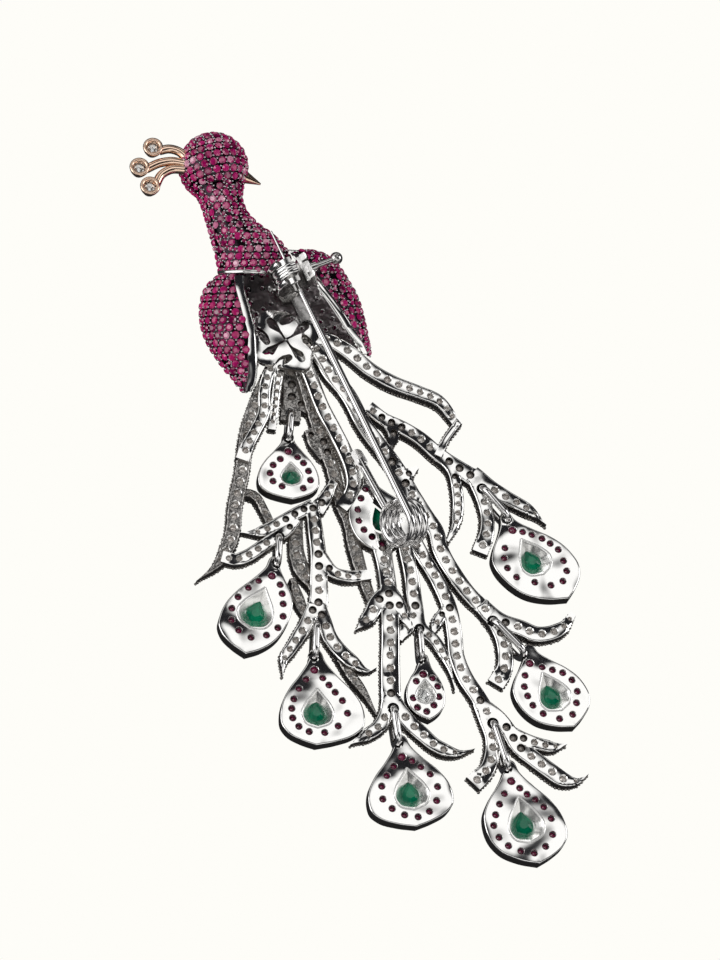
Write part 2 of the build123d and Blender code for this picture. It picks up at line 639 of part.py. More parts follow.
def feather(name):
    """One feather: its strips, cut to the plate that follows its profile."""
    profile, strips = FEATHERS[name]
    cols = [col for points, _ in strips for col, _ in points]
    plate = slab(profile, sum(cols) / len(cols))
    faces = [strip(points, widths, profile) for points, widths in strips]
    if name == "centre":
        faces.append(drop_face(CENTRE_HEAD[:4], LEVEL + FEATHER_THICK / 2))
    outline = faces[0]
    for face in faces[1:]:
        outline = outline + face
    return extrude(outline, TALL) & plate


def tail_frame():
    """All feathers soldered together with the plate that their roots meet on."""
    hub_level = LEVEL + RISE * HUB_SHARE
    hub_spot = flat(spot(*HUB_SPOT, hub_level))
    low = hub_level - FEATHER_THICK / 2
    hub = extrude(
        Plane(origin=(hub_spot.X, hub_spot.Y, low)) * Ellipse(HUB_ACROSS / 2, HUB_ALONG / 2), FEATHER_THICK
    )
    pegs = []
    breast_top = BIRD_WALL + 0.1 * BIRD_DEPTH + 1.5 * GAP
    for col, row in PEG_SPOTS:
        place = flat(spot(col, row, hub_level))
        peg = Cylinder(PEG_RADIUS, low + 1 - breast_top, align=(Align.CENTER, Align.CENTER, Align.MIN))
        pegs.append(Location((place.X, place.Y, breast_top)) * peg)
    solid = hub + pegs + [feather(name) for name in FEATHERS]
    low = LEVEL - FEATHER_THICK / 2
    high = LEVEL + FEATHER_THICK / 2
    cuts = [stone_seat(CENTRE_HEAD, low, high)] + ruby_holes(CENTRE_HEAD, low, high)
    cuts += [link_holes(number)[0] for number in LINKS]
    return solid - cuts


def section_plane(row):
    """Plane in which a section of the bird lies: along the line of sight of the sketch."""
    right = (spot(MIDDLE_COL + 1, row, 0) - spot(MIDDLE_COL, row, 0)).normalized()
    sight = spot(MIDDLE_COL, row, 1) - spot(MIDDLE_COL, row, 0)
    return right, sight


def neck_section(row, left, right, middle, half, shrink=0.0):
    """Closed oval section of the neck."""
    across, sight = section_plane(row)
    height = middle * BIRD_DEPTH
    centre = spot((left + right) / 2, row, height)
    plane = Plane(origin=centre, x_dir=across, z_dir=across.cross(sight))
    return plane * Ellipse((right - left) / 2 * SQUARE - shrink, half * BIRD_DEPTH * sight.length - shrink)


def breast_section(row, left, right, edge, keel):
    """Shallow curved section, one wall thick."""
    low = edge * BIRD_DEPTH
    deep = keel * BIRD_DEPTH
    middle = (left + right) / 2
    outer = ThreePointArc(spot(left, row, low), spot(middle, row, deep), spot(right, row, low))
    inner = ThreePointArc(
        spot(right, row, low + BIRD_WALL), spot(middle, row, deep + BIRD_WALL), spot(left, row, low + BIRD_WALL)
    )
    return make_face([outer, Line(outer @ 1, inner @ 0), inner, Line(inner @ 1, outer @ 0)])


def bird_body():
    """Head, neck that opens at its lower end, and the breast below the wings' feet."""
    head_spot = spot(*HEAD_SPOT, HEAD_HEIGHT)
    head = Location(head_spot) * Sphere(HEAD_RADIUS)
    neck = loft([neck_section(*row) for row in NECK])
    hollow_rows = [row for row in NECK if row[0] > NECK_HOLLOW_FROM]
    hollow = [neck_section(*row, shrink=BIRD_WALL) for row in hollow_rows]
    last = NECK[-1]
    hollow.append(neck_section(last[0] + 0.3, *last[1:], shrink=BIRD_WALL))
    breast = loft([breast_section(*row) for row in BREAST])
    body = head + neck - loft(hollow)
    return body + breast


def wing(table, turn):
    """Curved shell of one wing. turn is 1 for the left wing, whose wall lies to the right of its outside."""
    sections = []
    for row, rim, side, foot, rim_z, side_z, foot_z in sorted(table, reverse=turn > 0):
        wall = turn * min(BIRD_WALL / SQUARE, 0.25 + 0.45 * abs(rim - side))
        rim_at = spot(rim, row, rim_z * BIRD_DEPTH)
        side_at = spot(side, row, side_z * BIRD_DEPTH)
        foot_at = spot(foot, row, foot_z * BIRD_DEPTH)
        rim_in = spot(rim + wall, row, rim_z * BIRD_DEPTH)
        side_in = spot(side + wall, row, side_z * BIRD_DEPTH)
        foot_in = spot(foot, row, foot_z * BIRD_DEPTH + BIRD_WALL)
        outer = ThreePointArc(rim_at, side_at, foot_at)
        inner = ThreePointArc(foot_in, side_in, rim_in)
        sections.append(make_face([outer, Line(foot_at, foot_in), inner, Line(rim_in, rim_at)]))
    return loft(sections)


def beak():
    """Short pointed beak, seated on the head."""
    base = spot(*BEAK_BASE, HEAD_HEIGHT)
    tip = spot(*BEAK_TIP, HEAD_HEIGHT)
    along = tip - base
    frame = Plane(origin=base, z_dir=along)
    cone = frame * Cone(BEAK_RADIUS, 0.12, along.length, align=(Align.CENTER, Align.CENTER, Align.MIN))
    head = Location(spot(*HEAD_SPOT, HEAD_HEIGHT)) * Sphere(HEAD_RADIUS + GAP)
    return cone - head


def crest():
    """Three curved stems from one root bar, each with a cup for its stone."""
    pieces = []
    for line in [CREST_ROOT] + CREST_STEMS:
        path = Spline(*[spot(col, row, CREST_HEIGHT) for col, row in line])
        pieces.append(sweep(Plane(origin=path @ 0, z_dir=path % 0) * Circle(STEM_RADIUS), path=path))
        for place in (path @ 0, path @ 1):
            pieces.append(Location(place) * Sphere(STEM_RADIUS * STEM_KNOB))
    solid = pieces[0]
    for piece in pieces[1:]:
        solid = solid + piece
    for line in CREST_STEMS:
        place = spot(*line[-1], CREST_HEIGHT)
        cup = Location(place) * Cone(BEZEL_FOOT, BEZEL_RADIUS, BEZEL_DEPTH)
        bore = Location((place.X, place.Y, place.Z + BEZEL_DEPTH / 2)) * Cylinder(BEZEL_BORE, 2 * STONE_CROWN + 1.2)
        solid = solid + cup - bore
    return solid


def crest_stone(index):
    """Round stone in its cup, its culet up as seen from the back."""
    place = spot(*CREST_STEMS[index][-1], CREST_HEIGHT)
    return Location((place.X, place.Y, place.Z + 0.25)) * round_stone(CREST_STONE)


def pin_frame():
    """Places and directions that the pin, its coil and the catch share."""
    tip = spot(*PIN_TIP_SPOT, PIN_HEIGHT)
    turn = spot(*PIN_TURN_SPOT, PIN_HEIGHT)
    along = (turn - tip).normalized()
    side = Vector(0, 0, 1).cross(along) * -1
    if side.X < 0:
        side = side * -1
    lean = math.radians(COIL_LEAN)
    axis = side * math.cos(lean) - Vector(0, 0, 1) * math.sin(lean)
    rise = side * math.sin(lean) + Vector(0, 0, 1) * math.cos(lean)
    centre = turn - rise * COIL_RADIUS
    catch = spot(*CATCH_SPOT, PIN_HEIGHT)
    catch = tip + along * (catch - tip).dot(along)
    return tip, turn, along, side, axis, rise, centre, catch


def around(centre, along, rise, angle):
    """Point of the coil's middle line, at an angle from the way of the pin towards straight up."""
    turn = math.radians(angle)
    return centre + along * COIL_RADIUS * math.cos(turn) + rise * COIL_RADIUS * math.sin(turn)


def torus_at(centre, axis):
    return Plane(origin=centre, z_dir=axis) * Torus(COIL_RADIUS, WIRE_RADIUS)


def pin_stem():
    """Pin from its point to its loop."""
    tip, turn, along, side, axis, rise, centre, catch = pin_frame()
    start = Align.CENTER, Align.CENTER, Align.MIN
    point = Plane(origin=tip, z_dir=along) * Cone(PIN_POINT, PIN_RADIUS, PIN_TAPER, align=start)
    length = (turn - tip).length
    straight = Plane(origin=tip + along * PIN_TAPER, z_dir=along) * Cylinder(
        PIN_RADIUS, length - PIN_TAPER - PIN_ROOT, align=start
    )
    root = Plane(origin=turn - along * PIN_ROOT, z_dir=along) * Cone(
        PIN_RADIUS, WIRE_RADIUS, PIN_ROOT / 2, align=start
    )
    arc = ThreePointArc(turn, around(centre, along, rise, -60), around(centre, along, rise, -210))
    last = turn - along * PIN_ROOT / 2
    wire = Plane(origin=last, z_dir=along) * Circle(WIRE_RADIUS)
    return point + straight + root + sweep(wire, path=Wire([Line(last, turn), arc]))


def pin_spring():
    """Fixed turns beside the pin's loop, and the tail wire that is soldered to the tail."""
    tip, turn, along, side, axis, rise, centre, catch = pin_frame()
    first = 2 * WIRE_RADIUS + COIL_GAP
    middle = centre + axis * (first + COIL_PITCH)
    low = middle - rise * COIL_RADIUS
    start = Align.CENTER, Align.CENTER, Align.MIN
    back = (along * -1).rotate(Axis.Z, TAIL_TURN)
    end = low + back * TAIL_LENGTH + Vector(0, 0, TAIL_RISE)
    tail = Plane(origin=low, z_dir=end - low) * Cylinder(WIRE_RADIUS, (end - low).length, align=start)
    pad = Plane(origin=end, x_dir=back, z_dir=Vector(0, 0, 1)) * extrude(
        SlotOverall(PAD_LENGTH, PAD_WIDTH), PAD_THICK / 2, both=True
    )
    return torus_at(centre + axis * first, axis) + torus_at(middle, axis) + tail + pad


def wedge(low, high, reach, length):
    """Sector about the Z axis, between two angles from +X, for cutting a slot."""
    outer = [
        (reach * math.cos(math.radians(low + (high - low) * step / 4)),
         reach * math.sin(math.radians(low + (high - low) * step / 4)))
        for step in range(5)
    ]
    return extrude(make_face(Polyline((0, 0), *outer, close=True)), length / 2, both=True)


def catch_plane():
    """Catch frame: local X is straight up, local Y to the right of the pin, local Z towards the pin's point."""
    tip, turn, along, side, axis, rise, centre, catch = pin_frame()
    return Plane(origin=catch, x_dir=Vector(0, 0, 1), z_dir=side.cross(Vector(0, 0, 1)) * -1)


def catch_housing():
    """Two slotted rings on a saddle, with an arm to the gallery."""
    ring_gap = ROTOR_BAND / 2 + AXIAL_PLAY
    bore = SLEEVE_OUTER + SLEEVE_PLAY
    rings = None
    for turn in (1, -1):
        ring = Cylinder(BARREL_OUTER, END_RING) - Cylinder(bore, END_RING * 2)
        ring = ring - wedge(SLOT_FROM, SLOT_TO, BARREL_OUTER * 2, END_RING * 2)
        ring = Location((0, 0, turn * (ring_gap + END_RING / 2))) * ring
        rings = ring if rings is None else rings + ring
    length = 2 * (ring_gap + END_RING)
    gallery_top = LEVEL + RISE * HUB_SHARE + FEATHER_THICK / 2 + GAP + GALLERY_THICK
    drop = PIN_HEIGHT - gallery_top - GAP
    block = Location((-(drop + bore) / 2, 0, 0)) * Box(drop - bore, FOOT_WIDTH, length)
    block = block - Cylinder(BARREL_OUTER, ROTOR_BAND + 2 * AXIAL_PLAY) - Cylinder(bore, length * 2)
    local = catch_plane()
    gallery = local.to_local_coords(spot(*GALLERY_SPOT, PIN_HEIGHT))
    reach = -gallery.Z - LOBE_PLACE * 0.9
    arm_start = length / 2 - 0.3
    arm = Location((-drop + FOOT_THICK / 2, 0, -arm_start)) * Box(
        FOOT_THICK, FOOT_WIDTH * 0.7, reach - arm_start, align=(Align.CENTER, Align.CENTER, Align.MAX)
    )
    return local * (rings + block + arm)


def catch_lever():
    """Slotted barrel that turns in the rings, and its lever with a ball."""
    ring_gap = ROTOR_BAND / 2 + AXIAL_PLAY
    length = 2 * (ring_gap + END_RING)
    barrel = Cylinder(ROTOR_OUTER, ROTOR_BAND) + Cylinder(SLEEVE_OUTER, length)
    barrel = barrel - Cylinder(ROTOR_BORE, length * 2)
    barrel = barrel - wedge(MOUTH_FROM, MOUTH_TO, BARREL_OUTER * 2, length * 2)
    start = Align.CENTER, Align.CENTER, Align.MIN
    outward = Plane(origin=(0, 0, 0), z_dir=(0, 1, 0))
    rod = outward * Location((0, 0, SLEEVE_OUTER)) * Cylinder(LEVER_RADIUS, LEVER_REACH - SLEEVE_OUTER, align=start)
    hub = outward * Location((0, 0, SLEEVE_OUTER)) * Cylinder(HUB_RADIUS, 1.4, align=start)
    ball = Location((0, LEVER_REACH, 0)) * Sphere(BALL_RADIUS)
    return catch_plane() * (barrel + hub + rod + ball)


def gallery_plate():
    """Pinwheel of four round lobes with a drop-shaped hole in each and a cross in the middle."""
    low = LEVEL + RISE * HUB_SHARE + FEATHER_THICK / 2 + GAP
    place = spot(*GALLERY_SPOT, low + GALLERY_THICK)
    outline = Circle(LOBE_PLACE * 0.95)
    holes = []
    for step in range(4):
        angle = 45 + 90 * step
        centre = Vector(LOBE_PLACE, 0, 0).rotate(Axis.Z, angle)
        outline = outline + Location((centre.X, centre.Y, 0)) * Circle(LOBE_RADIUS)
        hole = Location((centre.X, centre.Y, 0), (0, 0, angle + 60)) * (
            Circle(LOBE_HOLE) + Location((0.6, 0, 0)) * Circle(LOBE_HOLE * 0.6)
        )
        holes.append(hole)
        notch = Vector(LOBE_PLACE * 1.2, 0, 0).rotate(Axis.Z, angle + 45)
        holes.append(Location((notch.X, notch.Y, 0)) * Circle(LOBE_HOLE * 1.2))
    cross = Location((0, 0, 0), (0, 0, 20)) * (SlotOverall(2.2, 0.5) + Rot(0, 0, 90) * SlotOverall(2.2, 0.5))
    plate = extrude(outline - holes - cross, GALLERY_THICK)
    return Location((place.X, place.Y, low)) * plate


def build():
    """All pieces by name, before they are set about the origin."""
    parts = {
        "bird_body": bird_body(),
        "wing_left": wing(WING_LEFT, 1),
        "wing_right": wing(WING_RIGHT, -1),
        "beak": beak(),
        "crest": crest(),
        "tail_frame": tail_frame(),
        "gallery_plate": gallery_plate(),
        "catch_housing": catch_housing(),
        "catch_lever": catch_lever(),
        "pin_stem": pin_stem(),
        "pin_spring": pin_spring(),
    }
    for index in range(len(CREST_STEMS)):
        parts[f"crest_diamond_{index + 1}"] = crest_stone(index)
    parts.update(drop_parts())
    return parts


def origin_of(parts):
    """Middle of the brooch's box, at its lowest point."""
    boxes = [part.bounding_box() for part in parts.values()]
    low = [min(tuple(box.min)[axis] for box in boxes) for axis in range(3)]
    high = [max(tuple(box.max)[axis] for box in boxes) for axis in range(3)]
    return Vector((low[0] + high[0]) / 2, (low[1] + high[1]) / 2, low[2])


def main():
    os.makedirs("parts", exist_ok=True)
    parts = build()
    origin = origin_of(parts)
    for name, part in parts.items():
        placed = Location((-origin.X, -origin.Y, -origin.Z)) * part
        export_step(placed, f"parts/{name}.step")


main()
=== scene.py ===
import math
import random
from itertools import product

import bmesh
import bpy
import numpy as np
from mathutils import Matrix, Vector
from mathutils.geometry import delaunay_2d_cdt


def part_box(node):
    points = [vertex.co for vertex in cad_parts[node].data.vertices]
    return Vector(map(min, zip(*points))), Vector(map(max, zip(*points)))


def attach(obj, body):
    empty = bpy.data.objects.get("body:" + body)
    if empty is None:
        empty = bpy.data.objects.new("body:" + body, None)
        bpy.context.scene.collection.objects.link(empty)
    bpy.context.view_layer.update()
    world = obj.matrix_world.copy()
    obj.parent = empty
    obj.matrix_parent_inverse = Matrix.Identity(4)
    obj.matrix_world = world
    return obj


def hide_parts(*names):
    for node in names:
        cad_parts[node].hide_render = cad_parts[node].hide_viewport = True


# A peacock brooch lying face down. The frame is in metres, and lengths here are in millimetres.
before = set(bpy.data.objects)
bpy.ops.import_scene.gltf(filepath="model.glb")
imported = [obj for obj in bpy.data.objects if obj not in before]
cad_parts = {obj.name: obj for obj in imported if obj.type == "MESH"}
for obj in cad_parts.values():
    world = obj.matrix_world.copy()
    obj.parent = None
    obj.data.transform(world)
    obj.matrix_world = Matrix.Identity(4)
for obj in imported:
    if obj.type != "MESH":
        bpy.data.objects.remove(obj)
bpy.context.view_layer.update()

MM = 0.001
BODY = "brooch"

# The squared sketch on which the plan is laid out, as in the solid model
LENGTH = 97.0
SKETCH_ROWS = 72.0
PITCH = 22.0
ROLL = 8.0
SQUARE = LENGTH * math.cos(math.radians(PITCH)) / SKETCH_ROWS
MIDDLE_COL = 36.0
MIDDLE_ROW = 48.0
LEVEL = 2.3
RISE = 2.6
FEATHER_THICK = 2.0
FEATHER_WIDTH = 2.05
DROP_THICK = 2.1
DROP_CAP = 0.7
BIRD_DEPTH = 7.4
HEAD_RADIUS = 4.25
HEAD_HEIGHT = 4.7
HEAD_SPOT = (21.1, 16.2)
BIRD_WALL = 0.9

# Feathers. Each has a profile, rows of (sketch row, share of RISE above LEVEL), and its strips.
# A strip is its middle line, in sketch squares, and its widths from start to end as shares of FEATHER_WIDTH.
FEATHERS = {
    "far_left": ([(35.5, 0.72), (46, 0.25), (58, -0.25)], [
        ([(27.8, 35.6), (26.9, 37.4), (25.8, 39.9), (24.9, 43.0), (24.4, 47.0), (23.8, 50.0), (23.3, 53.8),
         (22.2, 56.0), (20.0, 57.8)], [0.65, 0.8, 0.9, 0.9, 0.9, 0]),
    ]),
    "left_inner": ([(35, 0.72), (46, 0.56)], [
        ([(27.8, 35.6), (26.8, 37.6), (26.5, 39.3), (26.5, 41.0), (25.6, 43.1), (24.9, 44.5), (24.4, 45.9)],
         [0.7, 0.75, 0.75, 0.8]),
        ([(28.2, 35.5), (27.8, 38.5), (27.5, 41.0), (27.3, 42.9)], [0.6, 0.55, 0.45]),
    ]),
    "first_carrier": ([(35, 0.5), (38.3, 0.1), (39.6, 0.0), (41.5, 0.0), (43, 0.0)], [
        ([(29.2, 35.2), (29.2, 38.0), (29.2, 40.0), (29.1, 42.0)], [1.1, 1.15, 1.2]),
        ([(29.1, 38.9), (29.9, 40.2), (30.8, 40.9), (31.9, 41.2)], [0.8, 0.8, 0.55, 0]),
    ]),
    "deep_middle": ([(35.5, 0.62), (42, 0.2), (50, -0.25), (60, -0.3)], [
        ([(29.9, 36.0), (31.1, 40.0), (32.0, 43.0), (33.4, 47.0), (34.2, 50.3), (35.0, 52.0), (35.5, 54.5),
         (36.2, 57.0), (37.3, 60.0)], [0.85, 0.85, 0.85, 0.85, 0.6]),
        ([(30.9, 42.9), (31.5, 44.1), (32.6, 45.5)], [0.6, 0.8, 0.8]),
    ]),
    "inner_curve": ([(34.5, 0.72), (38, 0.72), (42, 0.69), (47, 0.42), (50.8, 0.1)], [
        ([(29.9, 34.8), (30.5, 36.2), (31.2, 37.9), (32.2, 40.5), (33.5, 43.0), (34.5, 45.0), (35.2, 46.8),
         (35.4, 48.2), (35.0, 49.5), (34.2, 50.6)], [0.9, 0.9, 0.9, 0.9, 0.8]),
    ]),
    "long_right": ([(33, 0.72), (37, 0.72), (42, 0.64), (47, 0.36), (51, 0.06), (53.5, 0.0), (56, 0.0),
        (62, 0.0), (69, 0.0)], [
        ([(30.2, 33.6), (31.8, 35.2), (33.1, 37.3), (34.6, 39.1), (36.5, 42.5), (39.5, 46.5), (41.3, 49.5),
         (42.7, 51.7), (43.5, 52.9), (44.0, 54.8), (45.4, 57.3), (46.9, 59.3), (48.9, 61.1)], [0.95, 1.0,
         1.0, 1.0, 0.95]),
        ([(48.0, 60.2), (49.3, 62.0), (50.0, 63.4), (50.3, 64.9), (50.2, 66.4), (49.3, 67.9)], [1.0, 0.9,
         0.95, 1.0]),
        ([(48.0, 60.2), (49.9, 61.8), (51.9, 62.5), (53.4, 63.1), (54.8, 63.0), (56.0, 62.5), (57.1, 61.1)],
         [0.9, 1.0, 1.0, 0.9, 0.4]),
        ([(39.2, 46.1), (40.5, 47.4), (41.8, 46.6)], [0.6, 0.9, 0.2]),
    ]),
    "right_lower": ([], [
        ([(40.2, 50.6), (41.0, 53.0), (42.0, 55.0), (43.5, 57.5), (44.8, 60.4), (45.3, 63.0), (45.5, 65.2),
         (46.3, 67.2), (47.6, 69.2), (48.8, 71.2)], [0.9, 0.9, 0.95, 1.0]),
        ([(47.8, 69.7), (48.5, 71.7), (48.9, 72.9), (48.9, 74.4), (48.4, 75.9), (47.0, 77.3)], [0.95, 0.9,
         0.95, 1.05]),
        ([(47.8, 69.7), (49.7, 71.3), (50.6, 72.5), (51.5, 73.9), (52.8, 74.9), (54.4, 76.1), (55.8, 77.0),
         (57.1, 77.2), (58.3, 76.5)], [0.9, 0.95, 1.0, 1.0, 0]),
        ([(50.4, 72.2), (52.3, 73.3), (53.7, 73.7), (55.1, 73.9), (56.2, 73.6)], [0.7, 0.85, 0.75, 0.1]),
        ([(44.7, 60.4), (43.7, 61.7), (43.1, 63.2)], [0.6, 0.7, 0.1]),
    ]),
    "right_upper": ([(33, 0.72), (36, 0.71), (38, 0.65), (42, 0.45), (45.5, 0.3)], [
        ([(30.8, 33.7), (33.2, 34.0), (34.8, 35.0), (37.1, 36.9), (39.2, 38.1), (42.1, 39.2), (43.9, 40.0),
         (45.2, 41.5), (45.9, 42.5)], [0.9, 0.95, 0.9, 0.8, 0.55]),
        ([(45.8, 42.2), (44.7, 43.7), (43.8, 45.5)], [0.45, 0.45]),
    ]),
    "right_fork": ([(40.4, 0.6), (44, 0.28), (47.3, 0.02), (49.0, 0.0), (52.0, 0.0), (56, 0.0)], [
        ([(36.9, 40.6), (38.4, 41.8), (40.3, 42.7), (42.1, 43.8), (43.7, 45.2), (46.0, 46.8), (48.2, 48.2)],
         [0.8, 0.85, 0.9, 1.1]),
        ([(43.9, 45.4), (45.2, 46.9), (45.7, 49.0), (45.8, 50.6), (45.5, 52.4), (44.7, 54.0)], [0.7, 0.7,
         0.7, 0.15]),
        ([(47.4, 47.7), (48.3, 49.9), (48.7, 51.5), (48.6, 53.2), (47.9, 55.1)], [0.9, 0.85, 0.95]),
        ([(47.2, 47.4), (49.2, 48.8), (50.5, 49.6), (52.0, 50.4), (53.3, 51.2), (54.6, 52.4)], [1.2, 0.95,
         0.8, 0]),
        ([(38.2, 41.6), (39.4, 43.2), (39.1, 44.8)], [0.6, 0.8, 0.1]),
    ]),
    "left_lower": ([], [
        ([(33.4, 48.1), (32.7, 49.5), (31.7, 50.9)], [0.6, 0.8, 0.95]),
        ([(31.3, 50.2), (31.5, 52.0), (31.7, 53.5), (31.9, 55.0), (32.0, 58.0), (32.0, 59.3), (31.8, 61.2)],
         [0.85, 0.95, 1.05, 1.15]),
        ([(31.4, 50.4), (30.0, 51.1), (28.2, 52.1), (26.2, 53.0), (24.2, 53.1)], [0.8, 0.8, 0.75, 0]),
        ([(32.0, 55.2), (33.6, 57.1), (34.9, 57.4), (36.2, 57.3), (37.1, 57.2)], [0.8, 0.75, 0.6]),
        ([(31.6, 60.2), (30.5, 62.5), (29.9, 63.4), (29.3, 64.3), (28.8, 65.0), (28.5, 67.0)], [0.9, 0.9,
         0.75, 0]),
        ([(31.9, 60.2), (32.5, 61.7), (33.1, 63.3), (34.2, 64.7), (35.5, 65.8), (36.8, 66.5), (37.7, 66.2)],
         [0.9, 0.9, 0.9, 0]),
        ([(29.7, 51.8), (28.9, 52.8), (27.9, 53.5), (26.9, 54.1), (25.9, 54.8), (24.9, 55.4), (23.8, 55.7),
         (22.5, 55.4)], [0.7, 0.8, 0.8, 0.7]),
    ]),
    "left_deep": ([(48, -0.25), (70, -0.25)], [
        ([(23.3, 50.8), (24.3, 49.2), (25.5, 49.4), (26.5, 50.8), (27.3, 52.4)], [0.5, 0.55, 0.5]),
        ([(31.4, 58.6), (30.2, 56.5), (29.7, 54.2), (30.2, 51.8)], [0.5, 1.0, 0.9, 0.3]),
        ([(29.4, 57.6), (30.0, 59.6), (30.9, 61.6)], [0.4, 0.7, 0.4]),
        ([(33.4, 64.2), (34.9, 66.6), (36.4, 68.6), (37.7, 70.8)], [0.5, 0.6, 0.1]),
    ]),
    "centre": ([(47, 0.0), (53, 0.0), (56, 0.04), (60, 0.3), (66, 0.15), (69, 0.01), (71, 0.0), (75, 0.0)], [
        ([(38.0, 53.2), (38.3, 55.0), (38.6, 56.8), (38.8, 58.5), (38.9, 60.0), (39.0, 62.6), (39.0, 66.0),
         (39.1, 70.2)], [1.3, 1.0, 1.05, 1.1, 1.15, 1.2]),
        ([(38.8, 58.6), (37.6, 60.1), (37.0, 61.2), (35.6, 62.6)], [0.8, 1.0, 0.9, 0]),
        ([(38.9, 58.6), (40.0, 60.5), (40.6, 61.7), (41.0, 62.5)], [0.8, 0.9, 0.7, 0.2]),
        ([(39.0, 69.0), (38.6, 70.6), (37.9, 71.8), (36.7, 72.6), (35.1, 73.5)], [1.0, 0.9, 0.8, 0]),
        ([(39.0, 69.0), (39.9, 70.3), (40.8, 71.4), (42.1, 72.6), (43.4, 73.7), (44.5, 74.2), (45.6, 74.4),
         (47.2, 74.0)], [1.0, 0.95, 0.85, 0]),
    ]),
    "centre_deep": ([], [
        ([(40.4, 51.0), (40.3, 53.0), (40.6, 55.0), (41.1, 57.5), (41.3, 59.2), (41.5, 60.6), (41.9, 62.3),
         (43.4, 63.7), (44.3, 65.2), (44.9, 66.8), (45.3, 68.4)], [0.8, 0.9, 0.95, 0.7, 0]),
        ([(41.5, 60.8), (40.6, 62.4), (40.0, 63.6)], [0.7, 0.9, 0.2]),
    ]),
}

# Drops: top, left and right corner, and tip in sketch squares; size of the window as (width, length) in
# squares and its middle; then the middles of the stones, the first one the big one.
DROPS = {
    1: ((28.9, 42.9), (25.9, 47.8), (32.0, 48.0), (29.4, 49.9), (2.0, 2.3), (29.2, 47.4),
        [(28.9, 45.1), (28.1, 45.9), (27.4, 46.5), (27.1, 47.3), (27.4, 48.1), (28.3, 48.6), (30.4, 48.8),
         (31.1, 48.0), (30.9, 47.1), (30.4, 46.3), (29.8, 45.7)]),
    2: ((27.9, 55.2), (22.4, 61.0), (29.4, 60.6), (24.9, 64.9), (3.3, 4.2), (26.0, 60.5),
        [(27.4, 57.3), (26.1, 57.8), (25.1, 58.5), (24.1, 59.4), (23.5, 60.5), (23.5, 61.6), (24.2, 62.6),
         (25.4, 63.3), (26.9, 63.1), (28.0, 62.4), (28.5, 61.3), (28.5, 60.1), (28.4, 59.1), (28.2, 58.2)]),
    3: ((31.7, 64.1), (28.3, 70.6), (36.5, 71.0), (31.8, 73.6), (2.9, 3.7), (31.9, 70.1),
        [(31.6, 66.4), (30.8, 67.3), (30.1, 68.2), (29.6, 69.2), (29.4, 70.1), (29.5, 71.0), (30.1, 71.8),
         (31.1, 72.3), (32.6, 72.4), (33.9, 71.8), (34.8, 70.6), (34.3, 69.4), (33.6, 68.6), (33.0, 67.9),
         (32.4, 67.2)]),
    4: ((39.9, 72.4), (36.8, 79.0), (45.0, 78.2), (41.5, 81.3), (3.2, 3.9), (40.9, 77.8),
        [(40.1, 74.7), (39.3, 75.6), (38.6, 76.5), (38.1, 77.5), (38.2, 78.7), (39.1, 79.6), (40.3, 80.2),
         (41.6, 80.4), (42.7, 79.9), (43.4, 78.9), (43.5, 77.6), (42.8, 76.4), (41.9, 75.7), (41.1, 75.1)]),
    5: ((50.4, 74.9), (48.0, 81.2), (55.9, 81.2), (53.3, 84.9), (3.3, 4.4), (51.9, 80.8),
        [(50.7, 77.1), (51.5, 77.8), (52.2, 78.4), (53.0, 78.9), (53.8, 79.6), (54.5, 80.7), (54.6, 82.2),
         (53.9, 83.3), (52.8, 83.9), (51.5, 83.7), (50.3, 83.2), (49.4, 82.4), (48.9, 81.3), (49.1, 80.3),
         (49.5, 79.3), (50.0, 78.3)]),
    6: ((52.4, 63.9), (51.1, 69.2), (58.1, 68.1), (57.0, 72.1), (3.0, 3.9), (54.8, 68.7),
        [(52.7, 65.9), (53.9, 66.3), (54.9, 66.6), (55.9, 66.9), (56.8, 67.6), (57.3, 68.7), (57.2, 69.8),
         (56.8, 70.9), (55.5, 71.3), (53.9, 70.8), (52.9, 70.0), (52.4, 69.1), (52.1, 68.2), (52.2, 67.1)]),
    7: ((50.2, 51.0), (49.3, 56.6), (57.1, 55.3), (56.7, 59.7), (3.0, 3.9), (53.1, 55.6),
        [(51.2, 52.9), (52.2, 53.1), (53.1, 53.4), (54.1, 53.8), (54.9, 54.3), (55.7, 54.9), (56.2, 56.0),
         (56.5, 57.0), (56.1, 58.0), (54.9, 58.4), (53.3, 58.1), (51.5, 57.6), (50.6, 56.7), (50.3, 55.7),
         (50.4, 54.7)]),
    8: ((42.2, 64.7), (40.5, 68.8), (44.3, 68.8), (42.8, 71.3), (1.8, 2.3), (42.4, 68.6),
        [(42.2, 66.9), (41.5, 67.6), (43.1, 67.3), (43.6, 68.1), (43.7, 69.1), (43.2, 69.9), (42.5, 70.5),
         (41.6, 70.1), (41.2, 69.2)]),
}

# The head of the centre feather is shaped like a drop and holds the ninth pear stone.
CENTRE_HEAD = ((36.6, 47.4), (34.9, 51.6), (41.0, 51.4), (38.3, 55.2), (2.6, 4.2), (38.1, 51.5),
               [(36.6, 48.8), (36.1, 49.8), (35.8, 50.9), (35.9, 52.0), (36.4, 52.9), (37.2, 53.6),
                (38.2, 54.2)])

# Links: the end in the feather and the end in the drop, where their back bars lie on the sketch.
LINKS = {
    1: ((29.2, 41.0), (29.0, 43.6)),
    2: ((28.1, 53.3), (28.0, 55.9)),
    3: ((31.8, 61.7), (31.7, 64.9)),
    4: ((39.3, 69.9), (39.8, 73.2)),
    5: ((49.0, 71.4), (50.4, 75.7)),
    6: ((49.1, 61.6), (52.2, 64.8)),
    7: ((48.2, 48.6), (50.8, 51.6)),
    8: ((41.9, 62.3), (42.1, 65.3)),
}
SMALL_LINKS = (8,)
LINK_WIRE = 0.9
LINK_WIRE_SMALL = 0.7
LINK_OVER = 0.2

